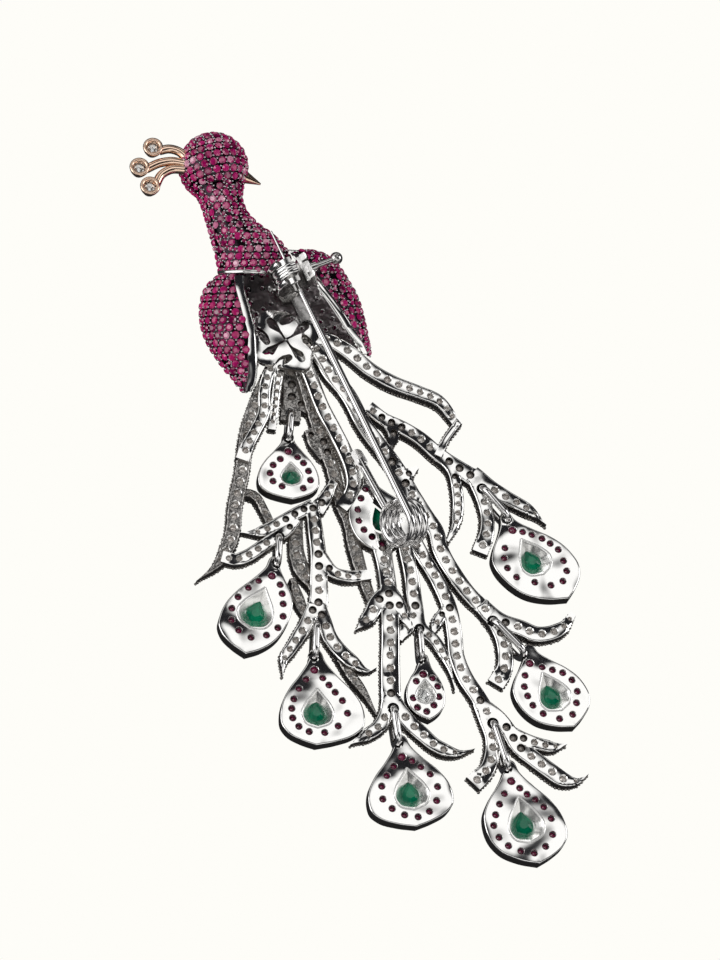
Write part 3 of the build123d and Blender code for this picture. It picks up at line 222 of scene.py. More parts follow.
# Edge of a drop, from its top to its tip on one side: share of the way to the corner or on to the tip, and
# share of the corner's distance from the middle line. Its shoulder lies down and out by shares of DROP_CAP.
DROP_UPPER = [(0.2, 0.2), (0.42, 0.45), (0.62, 0.74), (0.84, 0.95)]
DROP_SHOULDER = (0.55, 0.86)
DROP_LOWER = [(0.0, 1.0), (0.33, 0.97), (0.6, 0.8), (0.85, 0.41)]

# Half outline of a pear, from its point to its round end: share of the length, share of the half width.
PEAR = [(0.0, 0.0), (0.18, 0.36), (0.42, 0.8), (0.66, 1.0), (0.86, 0.8), (1.0, 0.0)]

# Neck: row, left and right side, middle height and half height as shares of BIRD_DEPTH.
NECK = [
    (18.2, 18.6, 24.2, 0.62, 0.38),
    (20.3, 20.0, 24.2, 0.62, 0.36),
    (22.2, 20.6, 25.8, 0.6, 0.38),
    (24.0, 21.1, 28.0, 0.55, 0.43),
    (25.5, 21.5, 28.9, 0.52, 0.47),
    (27.2, 21.8, 28.9, 0.5, 0.48),
]

# Wings: row, rim, side and foot columns, then the heights of the three as shares of BIRD_DEPTH.
WING_LEFT = [
    (27.45, 23.6, 21.9, 23.2, 0.93, 0.55, 0.25),
    (28.6, 23.7, 20.6, 23.9, 0.95, 0.52, 0.14),
    (30.5, 24.2, 20.05, 24.5, 0.93, 0.5, 0.1),
    (33.0, 24.8, 20.3, 24.9, 0.88, 0.48, 0.09),
    (35.5, 25.0, 21.5, 25.1, 0.80, 0.46, 0.12),
    (37.5, 25.0, 23.0, 25.1, 0.72, 0.46, 0.2),
    (39.2, 24.7, 24.3, 24.65, 0.62, 0.5, 0.38),
]
WING_RIGHT = [
    (24.8, 29.5, 30.7, 30.0, 0.78, 0.52, 0.3),
    (26.5, 30.7, 33.8, 31.2, 0.93, 0.52, 0.16),
    (28.5, 32.3, 35.1, 32.8, 0.93, 0.5, 0.12),
    (30.5, 33.7, 36.0, 34.1, 0.88, 0.48, 0.12),
    (32.5, 35.0, 36.5, 35.2, 0.80, 0.47, 0.16),
    (34.0, 36.0, 36.8, 36.1, 0.72, 0.47, 0.26),
    (35.4, 36.7, 37.0, 36.75, 0.62, 0.5, 0.38),
]

# Edges: rounding, the steps inward at which it is drawn, the crown across a strip, and the height of the
# middle of a wall as a share of the plate's thickness
EDGE_ROUND = 0.2
EDGE_STEPS = (0.03, 0.08, 0.14, 0.21)
DROP_STEPS = EDGE_STEPS + (0.7, 1.0)
CROWN = 0.07
WALL_MIDDLE = 0.35
# How far the walls' middles stray, which is in place of the fronts' beaded edges
FEATHER_STRAY = 0.07
DROP_STRAY = 0.02

# Distances of the points along drawn curves
PROFILE_STEP = 0.25
DROP_STEP = 0.3
ROW_STEP = 0.1
GALLERY_STEP = 0.25
BLADE_STEP = 0.12
STEM_STEP = 0.2

# Strips: distance of the stations, half width under which an end is a point, least half width that is
# drawn, distance beyond an outline that counts as outside, and the dip of the ends
STATION = 0.45
POINTED = 0.05
NARROWEST = 0.03
ASIDE = 1e-3
END_DIP = 0.42
END_LENGTH = 3.0
# Deeper feathers, whose backs take the darker frosted metal: painted shade
FROSTED_SHADED = {"far_left", "deep_middle", "left_deep", "first_carrier"}
PLAIN_STRIP = ("right_upper", 1)

# Holes behind the stones of a strip: distances from its start and end, between and beside holes, and sizes
HOLE_FIRST = 0.75
HOLE_LAST = 0.55
HOLE_GAP = 0.42
HOLE_WALL = 0.16
HOLE_TRY = 0.3
HOLE_STEP = 1.58
HOLE_SHARE = 0.28
HOLE_LARGEST = 0.54
HOLE_SMALLEST = 0.25
HOLE_SIDES = 18

# Holes of the links and of the drops' round stones, and the room that is kept round a link and a window
LINK_HOLE = 0.66
LINK_HOLE_SMALL = 0.57
LINK_HOLE_SHIFT = 0.1
LINK_RIM = 0.07
LINK_CLEAR = 0.2
HEAD_CLEAR = 3.3
RUBY_HOLE = 0.41
BIG_RUBY_HOLE = 0.5
RUBY_RIM = 0.06

# Walls of holes: scale about the hole's middle, and depth below the back or None for the front.
# The bottom of a window narrows to the stone's seat.
WINDOW_WALLS = ((0.95, 0.1), (0.9, 0.24), (0.52, 1.08), (0.74, 1.12), (0.74, None))
ROUND_WALLS = ((0.82, 0.09), (0.78, 0.8), (0.86, None))
LINK_WALLS = ((0.9, 0.07), (0.9, None))
RUBY_WALLS = ((0.88, 0.07), (0.87, None))

# Stones in the holes: share of the hole, share of the table, sides, and the heights of table, girdle and
# culet over the strip's front
STONE_IN_HOLE = 0.84
TABLE_SHARE = 0.6
FACETS = 8
STONE_HEIGHTS = (0.03, 1.46, 1.86)
# Pear stones: share of the window's outline and height over the drop's back
PEAR_STONE_RINGS = (
    (0.5, 0.25 - DROP_THICK), (0.8, 0.5 - DROP_THICK), (0.72, -1.3), (0.5, -1.0), (0.26, -0.82),
)
COLLAR = 0.13
COLLAR_SHARE = 1.1
COLLAR_SINK = 0.03
DROP_DIP = 0.72
DROP_DIP_SHARE = 0.5

# Grains along the front's edge: radius, height over the front, rings as shares of the radius, and the least
# and most shares by which their size, height and distance differ
GRAIN_SIZES = (0.75, 1.2)
GRAIN_LIFTS = (0.8, 1.2)
GRAIN_STEPS = (1.7, 2.3)
GRAIN = 0.2
GRAIN_HEIGHT = 0.36
GRAIN_SIDES = 6
GRAIN_RINGS = ((0.75, -0.66), (1.0, 0.0), (0.75, 0.66))

# Pave: stones, their rows, and how likely each red is; rings are (share of the radius, height)
PAVE_STONE = 0.5
PAVE_STEP = 1.13
PAVE_ROW = 1.0
SMALLEST_STONE = 0.22
STONE_TILT = 0.08
STONE_RINGS = ((0.75, -0.14), (1.0, 0.04), (0.55, 0.22))
# The fourth red, the pale one, is a painted glint
RED_CHANCES = (0,) * 6 + (1,) * 6 + (2,) * 3 + (3,)
BEAD = 0.15
BEAD_SIDES = 7
BEAD_TOP = 1.12
BEAD_RINGS = ((1.0, -0.3), (0.95, 0.45), (0.5, 0.95))
SNAP_REACH = 1.5
FREE_MOST = 9.0
FACING_LEAST = 0.3
# Shares: shortest row of a step, stone of its step, room that a stone needs, beads beside a row, and how
# often a facet has its stone's own red
ROW_LEAST = 0.6
STONE_SHARE = 0.455
ROOM_SHARE = 0.92
BEAD_ASIDE = 0.27
OWN_RED = 0.8
# Gaps about the stones between the rows, and the places of their beads in radians
STONE_GAP = 0.02
BEAD_GAP = 0.04
BEAD_TURNS = (0.6, 2.7, 4.8)
# Sections that are tried to set rows evenly, and every how many points of them are compared
ROW_PROBES = 61
PROBE_STEP = 6
# Places that are tried for stones and for open backs
BODY_TRIES = 9000
WING_TRIES = 3000
BACK_TRIES = 2500
# Open backs of stones in the hollow, and the hollow's first row
AZURE = 0.33
AZURE_SIDES = 10
AZURE_STEP = 1.15
AZURE_RINGS = ((1.25, -0.03), (1.1, 0.07), (0.85, 0.06), (0.7, 0.0))
HOLLOW_ROW = 27.2

# Curves through the rows of each table, once they have been drawn
ROW_CURVES = {}

# Rims of the wings: share of the wall inward and height over the rim
RIM_PROFILE = ((-0.35, -0.35), (-0.3, 0.3), (-0.15, 0.46), (0.8, 0.46), (1.02, 0.34), (1.05, -0.4))
RIM_MARGIN = 0.3
NECK_RIM_ROW = 27.15
NECK_RIM = 0.3
RIM_HEIGHT = 0.6
RIM_STATIONS = 40
# Least width of a rim and what it grows by with the wing's width, in squares
RIM_LEAST = 0.25
RIM_GROWTH = 0.45
# How far a wing's middle lies inward of its rim
WING_INWARD = 1.4
# Where the pave lies: the neck's place under the head, angles round the head, rows of the neck, and margins
# of the wings' rows
NECK_SPOT = (22.1, 20.3)
NECK_HEIGHT = 0.6 * BIRD_DEPTH
HEAD_ANGLES = (0.1, 2.5)
NECK_ROWS = (18.3, 27.0)
WING_MARGINS = (0.25, 0.2)
BODY_SEED = 11
WING_SEED = 21

# Gallery: one quarter of the outline, then the slot from the middle and the notch from the side
GALLERY_LEAN = -8.0
GALLERY_ROUND = 0.15
GALLERY_GRID = 0.5
GALLERY_EDGE = [(3.68, -2.5), (3.76, -1.2), (3.76, 0.2), (3.74, 1.6), (3.55, 2.8), (3.1, 3.35)]
GALLERY_SLOT = [(0.05, 0.1), (0.8, 0.75), (1.35, 1.45), (1.75, 1.95), (2.15, 2.3)]
SLOT_HALVES = [0.16, 0.13, 0.2, 0.42, 0.62, 0.5]
GALLERY_NOTCH = [(4.6, -1.15), (3.7, -0.7), (3.0, -0.1), (2.55, 0.45), (2.3, 0.75)]
NOTCH_HALVES = [0.34, 0.26, 0.32, 0.52, 0.6, 0.45]

# Crest: cups and stems on the sketch, and the cup's section as (radius, height)
CREST_HEIGHT = 5.2
CREST_CUPS = [(14.9, 14.75), (13.6, 16.85), (14.7, 18.8)]
CREST_STEMS = [
    [(15.7, 14.65), (16.6, 14.45), (17.7, 14.75), (18.4, 15.4)],
    [(14.45, 16.55), (15.7, 15.95), (16.9, 15.75), (18.2, 15.95)],
    [(15.35, 18.35), (15.95, 17.15), (16.9, 16.6), (18.2, 16.6)],
]
STEM_RADIUS = 0.58
STEM_HEIGHT = CREST_HEIGHT + 0.75
CREST_STONE = 0.7
CREST_STONE_HEIGHTS = (0.5, 1.0, 1.38)
CUP_PROFILE = [
    (0.8, 0.0), (1.12, 0.8), (1.28, 1.4), (1.27, 1.55), (1.16, 1.67), (1.0, 1.7), (0.86, 1.64), (0.78, 1.5),
    (0.72, 1.1), (0.68, 0.6), (0.64, 0.1),
]

# Pin and catch on the sketch, then the catch's bands: body, place along the pin, half width, radius, and the
# arc's ends in degrees from straight up
PIN_HEIGHT = 9.5
PIN_TIP_SPOT = (27.1, 23.1)
PIN_TURN_SPOT = (40.8, 51.3)
CATCH_SPOT = (29.25, 27.5)
CUP_SPOT = (28.5, 29.5)
CUP_FLOOR = LEVEL + RISE * 0.77 + 1.0
KNOB_SPOT = (27.0, 28.9)
KNOB_LIFT = 1.6
KNOB_STEM = 0.2
BAND_STATIONS = 41
CATCH_BANDS = (
    (BODY, 1.275, 0.41, 2.6, 54.0, 318.0), (BODY, -1.275, 0.41, 2.6, 54.0, 318.0),
    ("catch_rotor", 0.37, 0.35, 2.42, 66.0, 364.0), ("catch_rotor", -0.37, 0.35, 2.42, 66.0, 364.0),
)
BAND_PROFILE = (
    (-1.0, -0.2), (-1.0, 0.0), (-0.8, 0.09), (-0.4, 0.15), (0.0, 0.17), (0.4, 0.15), (0.8, 0.09), (1.0, 0.0),
    (1.0, -0.2),
)
CATCH_CUP_PROFILE = ((1.55, 0.0), (1.62, 1.0), (1.5, 1.7), (1.15, 2.3), (0.6, 2.62), (0.05, 2.7), (0.05, 0.0))
KNOB_PROFILE = ((0.05, 0.45), (0.3, 0.36), (0.44, 0.1), (0.44, -0.1), (0.3, -0.36), (0.05, -0.45))

# Places in the noise at which a stone's two colours stand, and distance of corners that are one in a solid
GEM_CLOUDS = (0.42, 0.62)
SAME_PLACE = 0.002

# Studio: a pale screen over the brooch within dark gaps (angles about its direction), patches, and the floor
SCREEN_WAY = (0.13, 0.28, 0.95)
SCREEN_INNER = 11.0
SCREEN_OUTER = 19.0
GAP_INNER = 34.0
GAP_OUTER = 50.0
STUDIO_PATCHES = 2.1
FLOOR_REACH = 3.0
FLOOR_COLOR = (0.991, 0.982, 0.939, 1)
STUDIO_STRENGTH = 1.1
STUDIO_LOW = (0.03, 0.03, 0.032, 1)
STUDIO_GAP = (0.012, 0.012, 0.014, 1)
STUDIO_SCREEN = (1.0, 0.995, 0.985, 1)
# Soft boxes: place, size and power
SOFT_BOXES = {
    "left_box": ((-0.55, 0.0, 0.3), (0.45, 0.6), 1.2),
    "right_box": ((0.55, 0.1, 0.3), (0.3, 0.4), 0.9),
}

# The photo's lens and film, and the height of its frame in squares
LENS = 150.0
FILM = 36.0
PHOTO_SQUARES = 96.0


def spot(col, row, z):
    """Place of a point of the sketch that lies at height z, before the brooch is set about its origin."""
    roll = math.radians(ROLL)
    pitch = math.radians(PITCH)
    right = (col - MIDDLE_COL) * SQUARE
    up = (MIDDLE_ROW - row) * SQUARE
    x = (right - z * math.sin(roll)) / math.cos(roll)
    y = (up + x * math.sin(roll) * math.sin(pitch) - z * math.cos(roll) * math.sin(pitch)) / math.cos(pitch)
    return Vector((x, y, z))


def between(table, value):
    """Value read from rows of (place, value), along straight lines."""
    if value <= table[0][0]:
        return table[0][1]
    for (low, first), (high, last) in zip(table, table[1:]):
        if value <= high:
            return first + (last - first) * (value - low) / (high - low)
    return table[-1][1]


def link_wire(number):
    return LINK_WIRE_SMALL if number in SMALL_LINKS else LINK_WIRE


def link_ends(number):
    """Both ends of a link on the plan."""
    back = LEVEL + DROP_THICK / 2 + LINK_OVER + link_wire(number) / 2
    return [spot(col, row, back).to_2d() for col, row in LINKS[number]]


def find_origin():
    """The brooch's origin before it was set about it, read from one link, which is symmetric."""
    low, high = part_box("jump_ring_2")
    first, last = link_ends(2)
    middle = (first + last) / 2
    centre = (Vector(low) + Vector(high)) / 2 / MM
    return Vector((middle.x - centre.x, middle.y - centre.y, LEVEL - centre.z))


ORIGIN = find_origin()


def placed(x, y, z):
    """Place in the frame, in metres."""
    return ((x - ORIGIN.x) * MM, (y - ORIGIN.y) * MM, (z - ORIGIN.z) * MM)


# Materials


def new_node(tree, kind, **values):
    """Shader node with plain values in its sockets."""
    made = tree.nodes.new("ShaderNode" + kind)
    for key, value in values.items():
        made.inputs[key.replace("_", " ")].default_value = value
    return made


def shader(name, color, metallic, roughness, **more):
    """Principled material; more holds plain values for its other sockets."""
    material = bpy.data.materials.new(name)
    material.use_nodes = True
    node = material.node_tree.nodes["Principled BSDF"]
    values = {"Base_Color": (*color, 1), "Metallic": metallic, "Roughness": roughness, **more}
    for key, value in values.items():
        node.inputs[key.replace("_", " ")].default_value = value
    return material


def noise_in(tree, scale, detail):
    """Noise that lies still in the object."""
    coords = new_node(tree, "TexCoord")
    noise = new_node(tree, "TexNoise", Scale=scale, Detail=detail)
    tree.links.new(coords.outputs["Object"], noise.inputs["Vector"])
    return noise.outputs["Fac"]


def two_colors(tree, positions, colors):
    """Ramp from one colour to another between two positions."""
    ramp = new_node(tree, "ValToRGB")
    for stop, position, color in zip(ramp.color_ramp.elements, positions, colors):
        stop.position = position
        stop.color = (*color, 1)
    return ramp


def metal(name, color, roughness, scale, height, strength=1.0, detail=2.0, metallic=1.0):
    """Metal with fine bumps in its surface."""
    material = shader(name, color, metallic, roughness)
    tree = material.node_tree
    bump = new_node(tree, "Bump", Distance=height, Strength=strength)
    tree.links.new(noise_in(tree, scale, detail), bump.inputs["Height"])
    tree.links.new(bump.outputs["Normal"], tree.nodes["Principled BSDF"].inputs["Normal"])
    return material


def gem(name, color, other, roughness, coat, ior=1.76, scale=900, metallic=0.0):
    """Stone in which a second colour drifts in soft clouds."""
    material = shader(name, color, metallic, roughness, IOR=ior, Coat_Weight=coat)
    tree = material.node_tree
    ramp = two_colors(tree, GEM_CLOUDS, (color, other))
    tree.links.new(noise_in(tree, scale, 3.0), ramp.inputs["Fac"])
    tree.links.new(ramp.outputs["Color"], tree.nodes["Principled BSDF"].inputs["Base Color"])
    return material


polished = metal("white_gold_polished", (0.92, 0.915, 0.9), 0.1, 150, 0.0012, detail=1.0)
# Frosted white gold: a rough bumped finish whose dark colour is painted shade
frosted_shaded = metal("white_gold_frosted_shaded", (0.4, 0.385, 0.37), 0.26, 1300, 0.00025)
seat_metal = metal("seat_metal", (0.95, 0.945, 0.93), 0.24, 900, 0.00006, 0.7)
# Side walls: white gold darkened with painted shade
shaded_wall_metal = metal("white_gold_wall_shaded", (0.3, 0.28, 0.26), 0.3, 1500, 0.00012)
# Grains along the front's edge: white gold darkened with painted shade, like the walls
shaded_grain_metal = metal("shaded_grain_metal", (0.34, 0.32, 0.3), 0.28, 2600, 0.00004, 0.6)
barrel_metal = metal("barrel_metal", (0.62, 0.61, 0.6), 0.2, 1100, 0.00005, 0.6)
catch_metal = metal("catch_metal", (0.4, 0.39, 0.385), 0.24, 1100, 0.00008, 0.7)
pin_metal = metal("pin_gold", (0.8, 0.79, 0.785), 0.13, 900, 0.00003, 0.5)
rose = metal("rose_gold", (0.95, 0.68, 0.52), 0.16, 700, 0.00004, 0.6)
cavity = metal("cavity_metal", (0.5, 0.45, 0.46), 0.24, 420, 0.0016, metallic=0.55)
# Beads of the pave: lighter than the blackened gold round them, a painted glint
glint_bead_metal = metal("glint_bead_metal", (0.62, 0.6, 0.62), 0.13, 2600, 0.00002, 0.5)
black_metal = metal("blackened_gold", (0.03, 0.022, 0.028), 0.25, 1500, 0.00005, 0.6)
ruby_light = gem("ruby_light", (0.6, 0.02, 0.2), (0.5, 0.01, 0.14), 0.08, 0.7)
ruby = gem("ruby", (0.38, 0.004, 0.11), (0.5, 0.012, 0.17), 0.06, 0.8)
ruby_dark = gem("ruby_dark", (0.16, 0.0, 0.05), (0.28, 0.002, 0.09), 0.05, 0.8)
# Pale pink stones: painted glints on their tables
ruby_pale_glint = gem("ruby_pale_glint", (0.85, 0.4, 0.55), (0.75, 0.22, 0.4), 0.1, 0.8)
hole_ruby = gem("hole_ruby", (0.13, 0.0, 0.03), (0.22, 0.0, 0.06), 0.1, 0.4, scale=1300)
emerald = gem("emerald", (0.0, 0.17, 0.085), (0.004, 0.27, 0.13), 0.1, 0.1, ior=1.45, scale=650)
diamond = gem("diamond", (0.68, 0.62, 0.58), (0.8, 0.77, 0.74), 0.22, 0.7, ior=2.0, scale=1500, metallic=0.3)
clear = shader("clear_stone", (0.85, 0.87, 0.88), 0.0, 0.03, IOR=2.2, Transmission_Weight=0.8)

# A plate's materials: back, wall, walls of the holes and underside; the wall's dark metal is painted shade
PLATE_METALS = [polished, shaded_wall_metal, polished, frosted_shaded]
# Reds of the pave; the pale one is a painted glint
PAVE_RUBIES = [ruby_light, ruby, ruby_dark, ruby_pale_glint]


# Pieces from rings

X, Y, UP = Vector((1, 0, 0)), Vector((0, 1, 0)), Vector((0, 0, 1))


def ring_at(centre, first, second, radius, sides, turn=0.0):
    """Places evenly round a centre, in the plane of two directions."""
    angles = [turn + 2 * math.pi * i / sides for i in range(sides)]
    return [centre + (first * math.cos(angle) + second * math.sin(angle)) * radius for angle in angles]


class Shape:
    """Points, faces and material numbers of a piece."""

    def __init__(self, points=(), faces=(), kinds=()):
        self.points = list(points)
        self.faces = list(faces)
        self.kinds = list(kinds)

    def add(self, rings, tip=None, closed=True, loop=False, start=False, end=False):
        """Surface through rings in turn. It may end in a tip, loop back, or be flat at its start and end."""
        base = len(self.points)
        count = len(rings[0])
        last = base + count * (len(rings) - 1)
        self.points += [placed(*place) for ring in rings for place in ring]
        if start:
            self.faces.append(tuple(reversed(range(base, base + count))))
        for low in range(base, last + 1 if loop else last, count):
            high = low + count if low < last else base
            for i in range(count if closed else count - 1):
                j = (i + 1) % count
                self.faces.append((low + i, low + j, high + j, high + i))
        if end:
            self.faces.append(tuple(range(last, last + count)))
        if tip is not None:
            self.points.append(placed(*tip))
            self.faces += [(last + i, last + (i + 1) % count, last + count) for i in range(count)]
        return self


def mesh_object(name, shape, materials, slot, smooth=True, angle=38.0, body=BODY):
    """New piece that rides on a body; edges sharper than angle stay sharp."""
    mesh = bpy.data.meshes.new(name)
    mesh.from_pydata(shape.points, [], shape.faces)
    for material in materials:
        mesh.materials.append(material)
    if shape.kinds:
        mesh.polygons.foreach_set("material_index", shape.kinds)
    mesh.polygons.foreach_set("use_smooth", [smooth] * len(shape.faces))
    if smooth:
        mesh.set_sharp_from_angle(angle=math.radians(angle))
    mesh.update()
    piece = bpy.data.objects.new(name, mesh)
    bpy.context.scene.collection.objects.link(piece)
    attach(piece, body)
    return piece


def swept_tube(name, line, radius, material, slot, sides=12):
    """Round wire along a line of places, closed at both ends."""
    rings = []
    for index, place in enumerate(line):
        ahead = line[min(index + 1, len(line) - 1)] - line[max(index - 1, 0)]
        side = ahead.cross(UP).normalized()
        rings.append(ring_at(place, side, side.cross(ahead).normalized(), radius, sides))
    return mesh_object(name, Shape().add(rings, start=True, end=True), [material], slot, angle=60)


def lathe(name, centre, profile, material, slot, sides=28):
    """Body of revolution about the vertical through centre; profile is a closed line of (radius, height)."""
    rings = [ring_at(centre + UP * height, X, Y, radius, sides) for radius, height in profile]
    return mesh_object(name, Shape().add(rings, loop=True), [material], slot, angle=40)


# Plane curves


def curve(points, step):
    """Smooth line through points, as an array of places about step apart."""
    knots = np.array([tuple(point[:2]) for point in points], dtype=float)
    sides = np.diff(knots, axis=0)
    lengths = np.linalg.norm(sides, axis=1)
    if len(knots) == 2:
        count = max(2, int(lengths[0] / step) + 1)
        return knots[0] + sides[0] * np.linspace(0, 1, count)[:, None]
    ways = sides / lengths[:, None]
    share = (lengths[:-1] / (lengths[:-1] + lengths[1:]))[:, None]
    slopes = np.vstack([ways[:1], ways[:-1] * (1 - share) + ways[1:] * share, ways[-1:]])
    line = []
    for a, b, slope_a, slope_b, length in zip(knots, knots[1:], slopes, slopes[1:], lengths):
        count = max(2, int(length / step + 0.5))
        t = np.arange(count)[:, None] / count
        line.append(
            (2 * t**3 - 3 * t**2 + 1) * a + (t**3 - 2 * t**2 + t) * slope_a * length
            + (3 * t**2 - 2 * t**3) * b + (t**3 - t**2) * slope_b * length
        )
    return np.vstack(line + [knots[-1:]])


def spread(values, share):
    """Values at shares of the way along evenly spaced values, with soft steps."""
    place = np.asarray(share) * (len(values) - 1)
    index = np.minimum(place.astype(int), len(values) - 2)
    step = place - index
    soft = step * step * (3 - 2 * step)
    values = np.array(values, dtype=float)
    return values[index] + (values[index + 1] - values[index]) * soft


def along(line):
    steps = np.linalg.norm(np.diff(line, axis=0), axis=1)
    return np.concatenate([[0.0], np.cumsum(steps)])


def normals_of(line):
    tangent = np.gradient(line, axis=0)
    tangent /= np.linalg.norm(tangent, axis=1)[:, None]
    return np.stack([-tangent[:, 1], tangent[:, 0]], axis=1)


def nearest(points, line):
    """Distance from each point to a line, and the place on it counted in stations."""
    start = line[:-1]
    step = line[1:] - start
    share = ((points[:, None, :] - start) * step).sum(2) / (step * step).sum(1)
    held = np.clip(share, 0, 1)
    foot = start + held[..., None] * step
    distance = np.linalg.norm(points[:, None, :] - foot, axis=2)
    best = distance.argmin(axis=1)
    rows = np.arange(len(points))
    beyond = (best == 0) & (share[rows, 0] < -1e-6) | (best == len(start) - 1) & (share[rows, -1] > 1 + 1e-6)
    return distance[rows, best], best + held[rows, best], beyond


def rounding(inside, radius):
    """How far a rounded edge lies below the face, at a distance inside the outline."""
    near = np.clip(inside, 0, radius)
    return radius - np.sqrt(np.maximum(radius**2 - (radius - near) ** 2, 0))


def signed_area(ring):
    """Twice the area of a ring, below zero where it runs clockwise."""
    x, y = np.array(ring, dtype=float).T
    return (x * np.roll(y, -1) - np.roll(x, -1) * y).sum()


def points_in(points, ring):
    """Which points lie inside a ring."""
    x, y = points[:, 0], points[:, 1]
    inside = np.zeros(len(points), dtype=bool)
    a = ring
    b = np.roll(ring, -1, axis=0)
    for (ax, ay), (bx, by) in zip(a, b):
        crosses = (ay > y) != (by > y)
        edge_x = ax + (y - ay) * (bx - ax) / (by - ay if by != ay else 1e-9)
        inside ^= crosses & (x < edge_x)
    return inside


# Pierced plates


def circle(centre, radius):
    return [tuple(place) for place in ring_at(Vector(centre), X.to_2d(), Y.to_2d(), radius, HOLE_SIDES)]


def plate(outlines, inner, holes, top, bottom, stray=0.0, rng=None):
    """Plate with holes, as a shape with the material numbers of PLATE_METALS.

    outlines are closed rings that are joined, inner holds further points, and holes are (ring, walls), where
    walls are (scale about the hole's middle, depth below the top or None for the bottom).
    """
    coords = []
    polygons = []
    for ring in list(outlines) + [hole[0] for hole in holes]:
        polygons.append(list(range(len(coords), len(coords) + len(ring))))
        coords.extend(ring if signed_area(ring) > 0 else ring[::-1])
    coords.extend(inner)
    verts, _, faces, orig, _, owners = delaunay_2d_cdt(
        [Vector((float(x), float(y))) for x, y in coords], [], polygons, 0, 1e-5, True
    )
    first_hole = len(outlines)
    kept = []
    for face, owner in zip(faces, owners):
        if any(o < first_hole for o in owner) and not any(o >= first_hole for o in owner):
            kept.append(tuple(face))
    used = sorted({index for face in kept for index in face})
    renumber = {old: new for new, old in enumerate(used)}
    flat = np.array([verts[index][:2] for index in used])
    high = top(flat)
    low = bottom(flat)
    count = len(used)
    points = [(x, y, z) for heights in (high, low) for (x, y), z in zip(flat, heights)]
    out = []
    kinds = []
    sides = {}
    for face in kept:
        a, b, c = (renumber[index] for index in face)
        u, v, w = flat[a], flat[b], flat[c]
        if (v[0] - u[0]) * (w[1] - u[1]) - (v[1] - u[1]) * (w[0] - u[0]) < 0:
            b, c = c, b
        out += [(a, b, c), (a + count, c + count, b + count)]
        kinds += [0, 3]
        sides.update(dict.fromkeys(((a, b), (b, c), (c, a))))
    new_of_input = {old: new for new, olds in enumerate(orig) for old in olds}
    hole_edges = set()
    for number, (_, walls) in enumerate(holes):
        loop = [renumber.get(new_of_input.get(i)) for i in polygons[first_hole + number]]
        if None in loop or len(set(loop)) < len(loop):
            continue
        pairs = [(b, a) for a, b in zip(loop, loop[1:] + loop[:1])]
        if not all(pair in sides for pair in pairs):
            continue
        hole_edges.update(pairs)
        middle = flat[loop].mean(axis=0)
        rows = [loop]
        for scale, depth in walls:
            rows.append(list(range(len(points), len(points) + len(loop))))
            for index in loop:
                x, y = middle + (flat[index] - middle) * scale
                points.append((x, y, low[index] if depth is None else high[index] - depth))
        rows.append([index + count for index in loop])
        for upper, lower in zip(rows, rows[1:]):
            for i in range(len(loop)):
                j = (i + 1) % len(loop)
                out.append((upper[i], upper[j], lower[j], lower[i]))
                kinds.append(2)
    middle_of = {}
    for a, b in sides:
        if (b, a) in sides or (a, b) in hole_edges:
            continue
        if not stray:
            out.append((b, a, a + count, b + count))
            kinds.append(1)
            continue
        for index in (a, b):
            if index not in middle_of:
                x, y = flat[index] + rng.uniform(-stray, stray, 2)
                middle_of[index] = len(points)
                points.append((x, y, low[index] + WALL_MIDDLE * (high[index] - low[index])))
        out += [(b, a, middle_of[a], middle_of[b]), (middle_of[b], middle_of[a], a + count, b + count)]
        kinds += [1, 1]
    return Shape([placed(*point) for point in points], out, kinds)


def pavilion(shape, centre, radius, heights, turn=0.0):
    """Stone in its hole, seen from behind; heights are those of its table, girdle and culet."""
    table, girdle, culet = heights
    sizes = ((radius * TABLE_SHARE, table), (radius, girdle))
    rings = [ring_at(Vector((*centre, z)), X, Y, reach, FACETS, turn) for reach, z in sizes]
    shape.add(rings, tip=(*centre, culet), start=True)


def edge_grains(shape, rings, low, rng):
    """Small grains of the front's setting that stand out along the lower edge of a plate."""
    for ring in rings:
        closed = np.vstack([ring, ring[:1]])
        run = along(closed)
        place = 0.0
        while place < run[-1]:
            x = np.interp(place, run, closed[:, 0])
            y = np.interp(place, run, closed[:, 1])
            radius = GRAIN * rng.uniform(*GRAIN_SIZES)
            lift = GRAIN_HEIGHT * rng.uniform(*GRAIN_LIFTS)
            centre = Vector((x, y, float(low(np.array([[x, y]]))[0]) + lift))
            side = 2 * math.pi / GRAIN_SIDES
            around = [
                ring_at(centre + UP * radius * high, X, Y, radius * scale, GRAIN_SIDES, side * high)
                for scale, high in GRAIN_RINGS
            ]
            shape.add(around, tip=centre + UP * radius)
            place += radius * rng.uniform(*GRAIN_STEPS)


# Feathers


def level_curve(profile, strips):
    """Middle height of a feather as a function of Y."""
    if not profile:
        return lambda y: np.full(len(y), LEVEL)
    cols = [col for points, _ in strips for col, _ in points]
    col = sum(cols) / len(cols)
    knots = []
    for row, share in profile:
        height = LEVEL + RISE * share
        knots.append((spot(col, row, height).y, height))
    line = curve(knots, PROFILE_STEP) if len(knots) > 2 else np.array(knots)
    order = line[:, 0].argsort()
    return lambda y: np.interp(y, line[order, 0], line[order, 1])


def strip_line(points, widths, profile):
    """Middle line of a strip with its half width at each station."""
    share_of = (lambda row: between(profile, row)) if profile else (lambda row: 0.0)
    places = [spot(col, row, LEVEL + RISE * share_of(row) + FEATHER_THICK / 2) for col, row in points]
    line = curve([tuple(place) for place in places], STATION)
    run = along(line)
    half = FEATHER_WIDTH * spread(widths, run / run[-1]) / 2
    return line, half, run


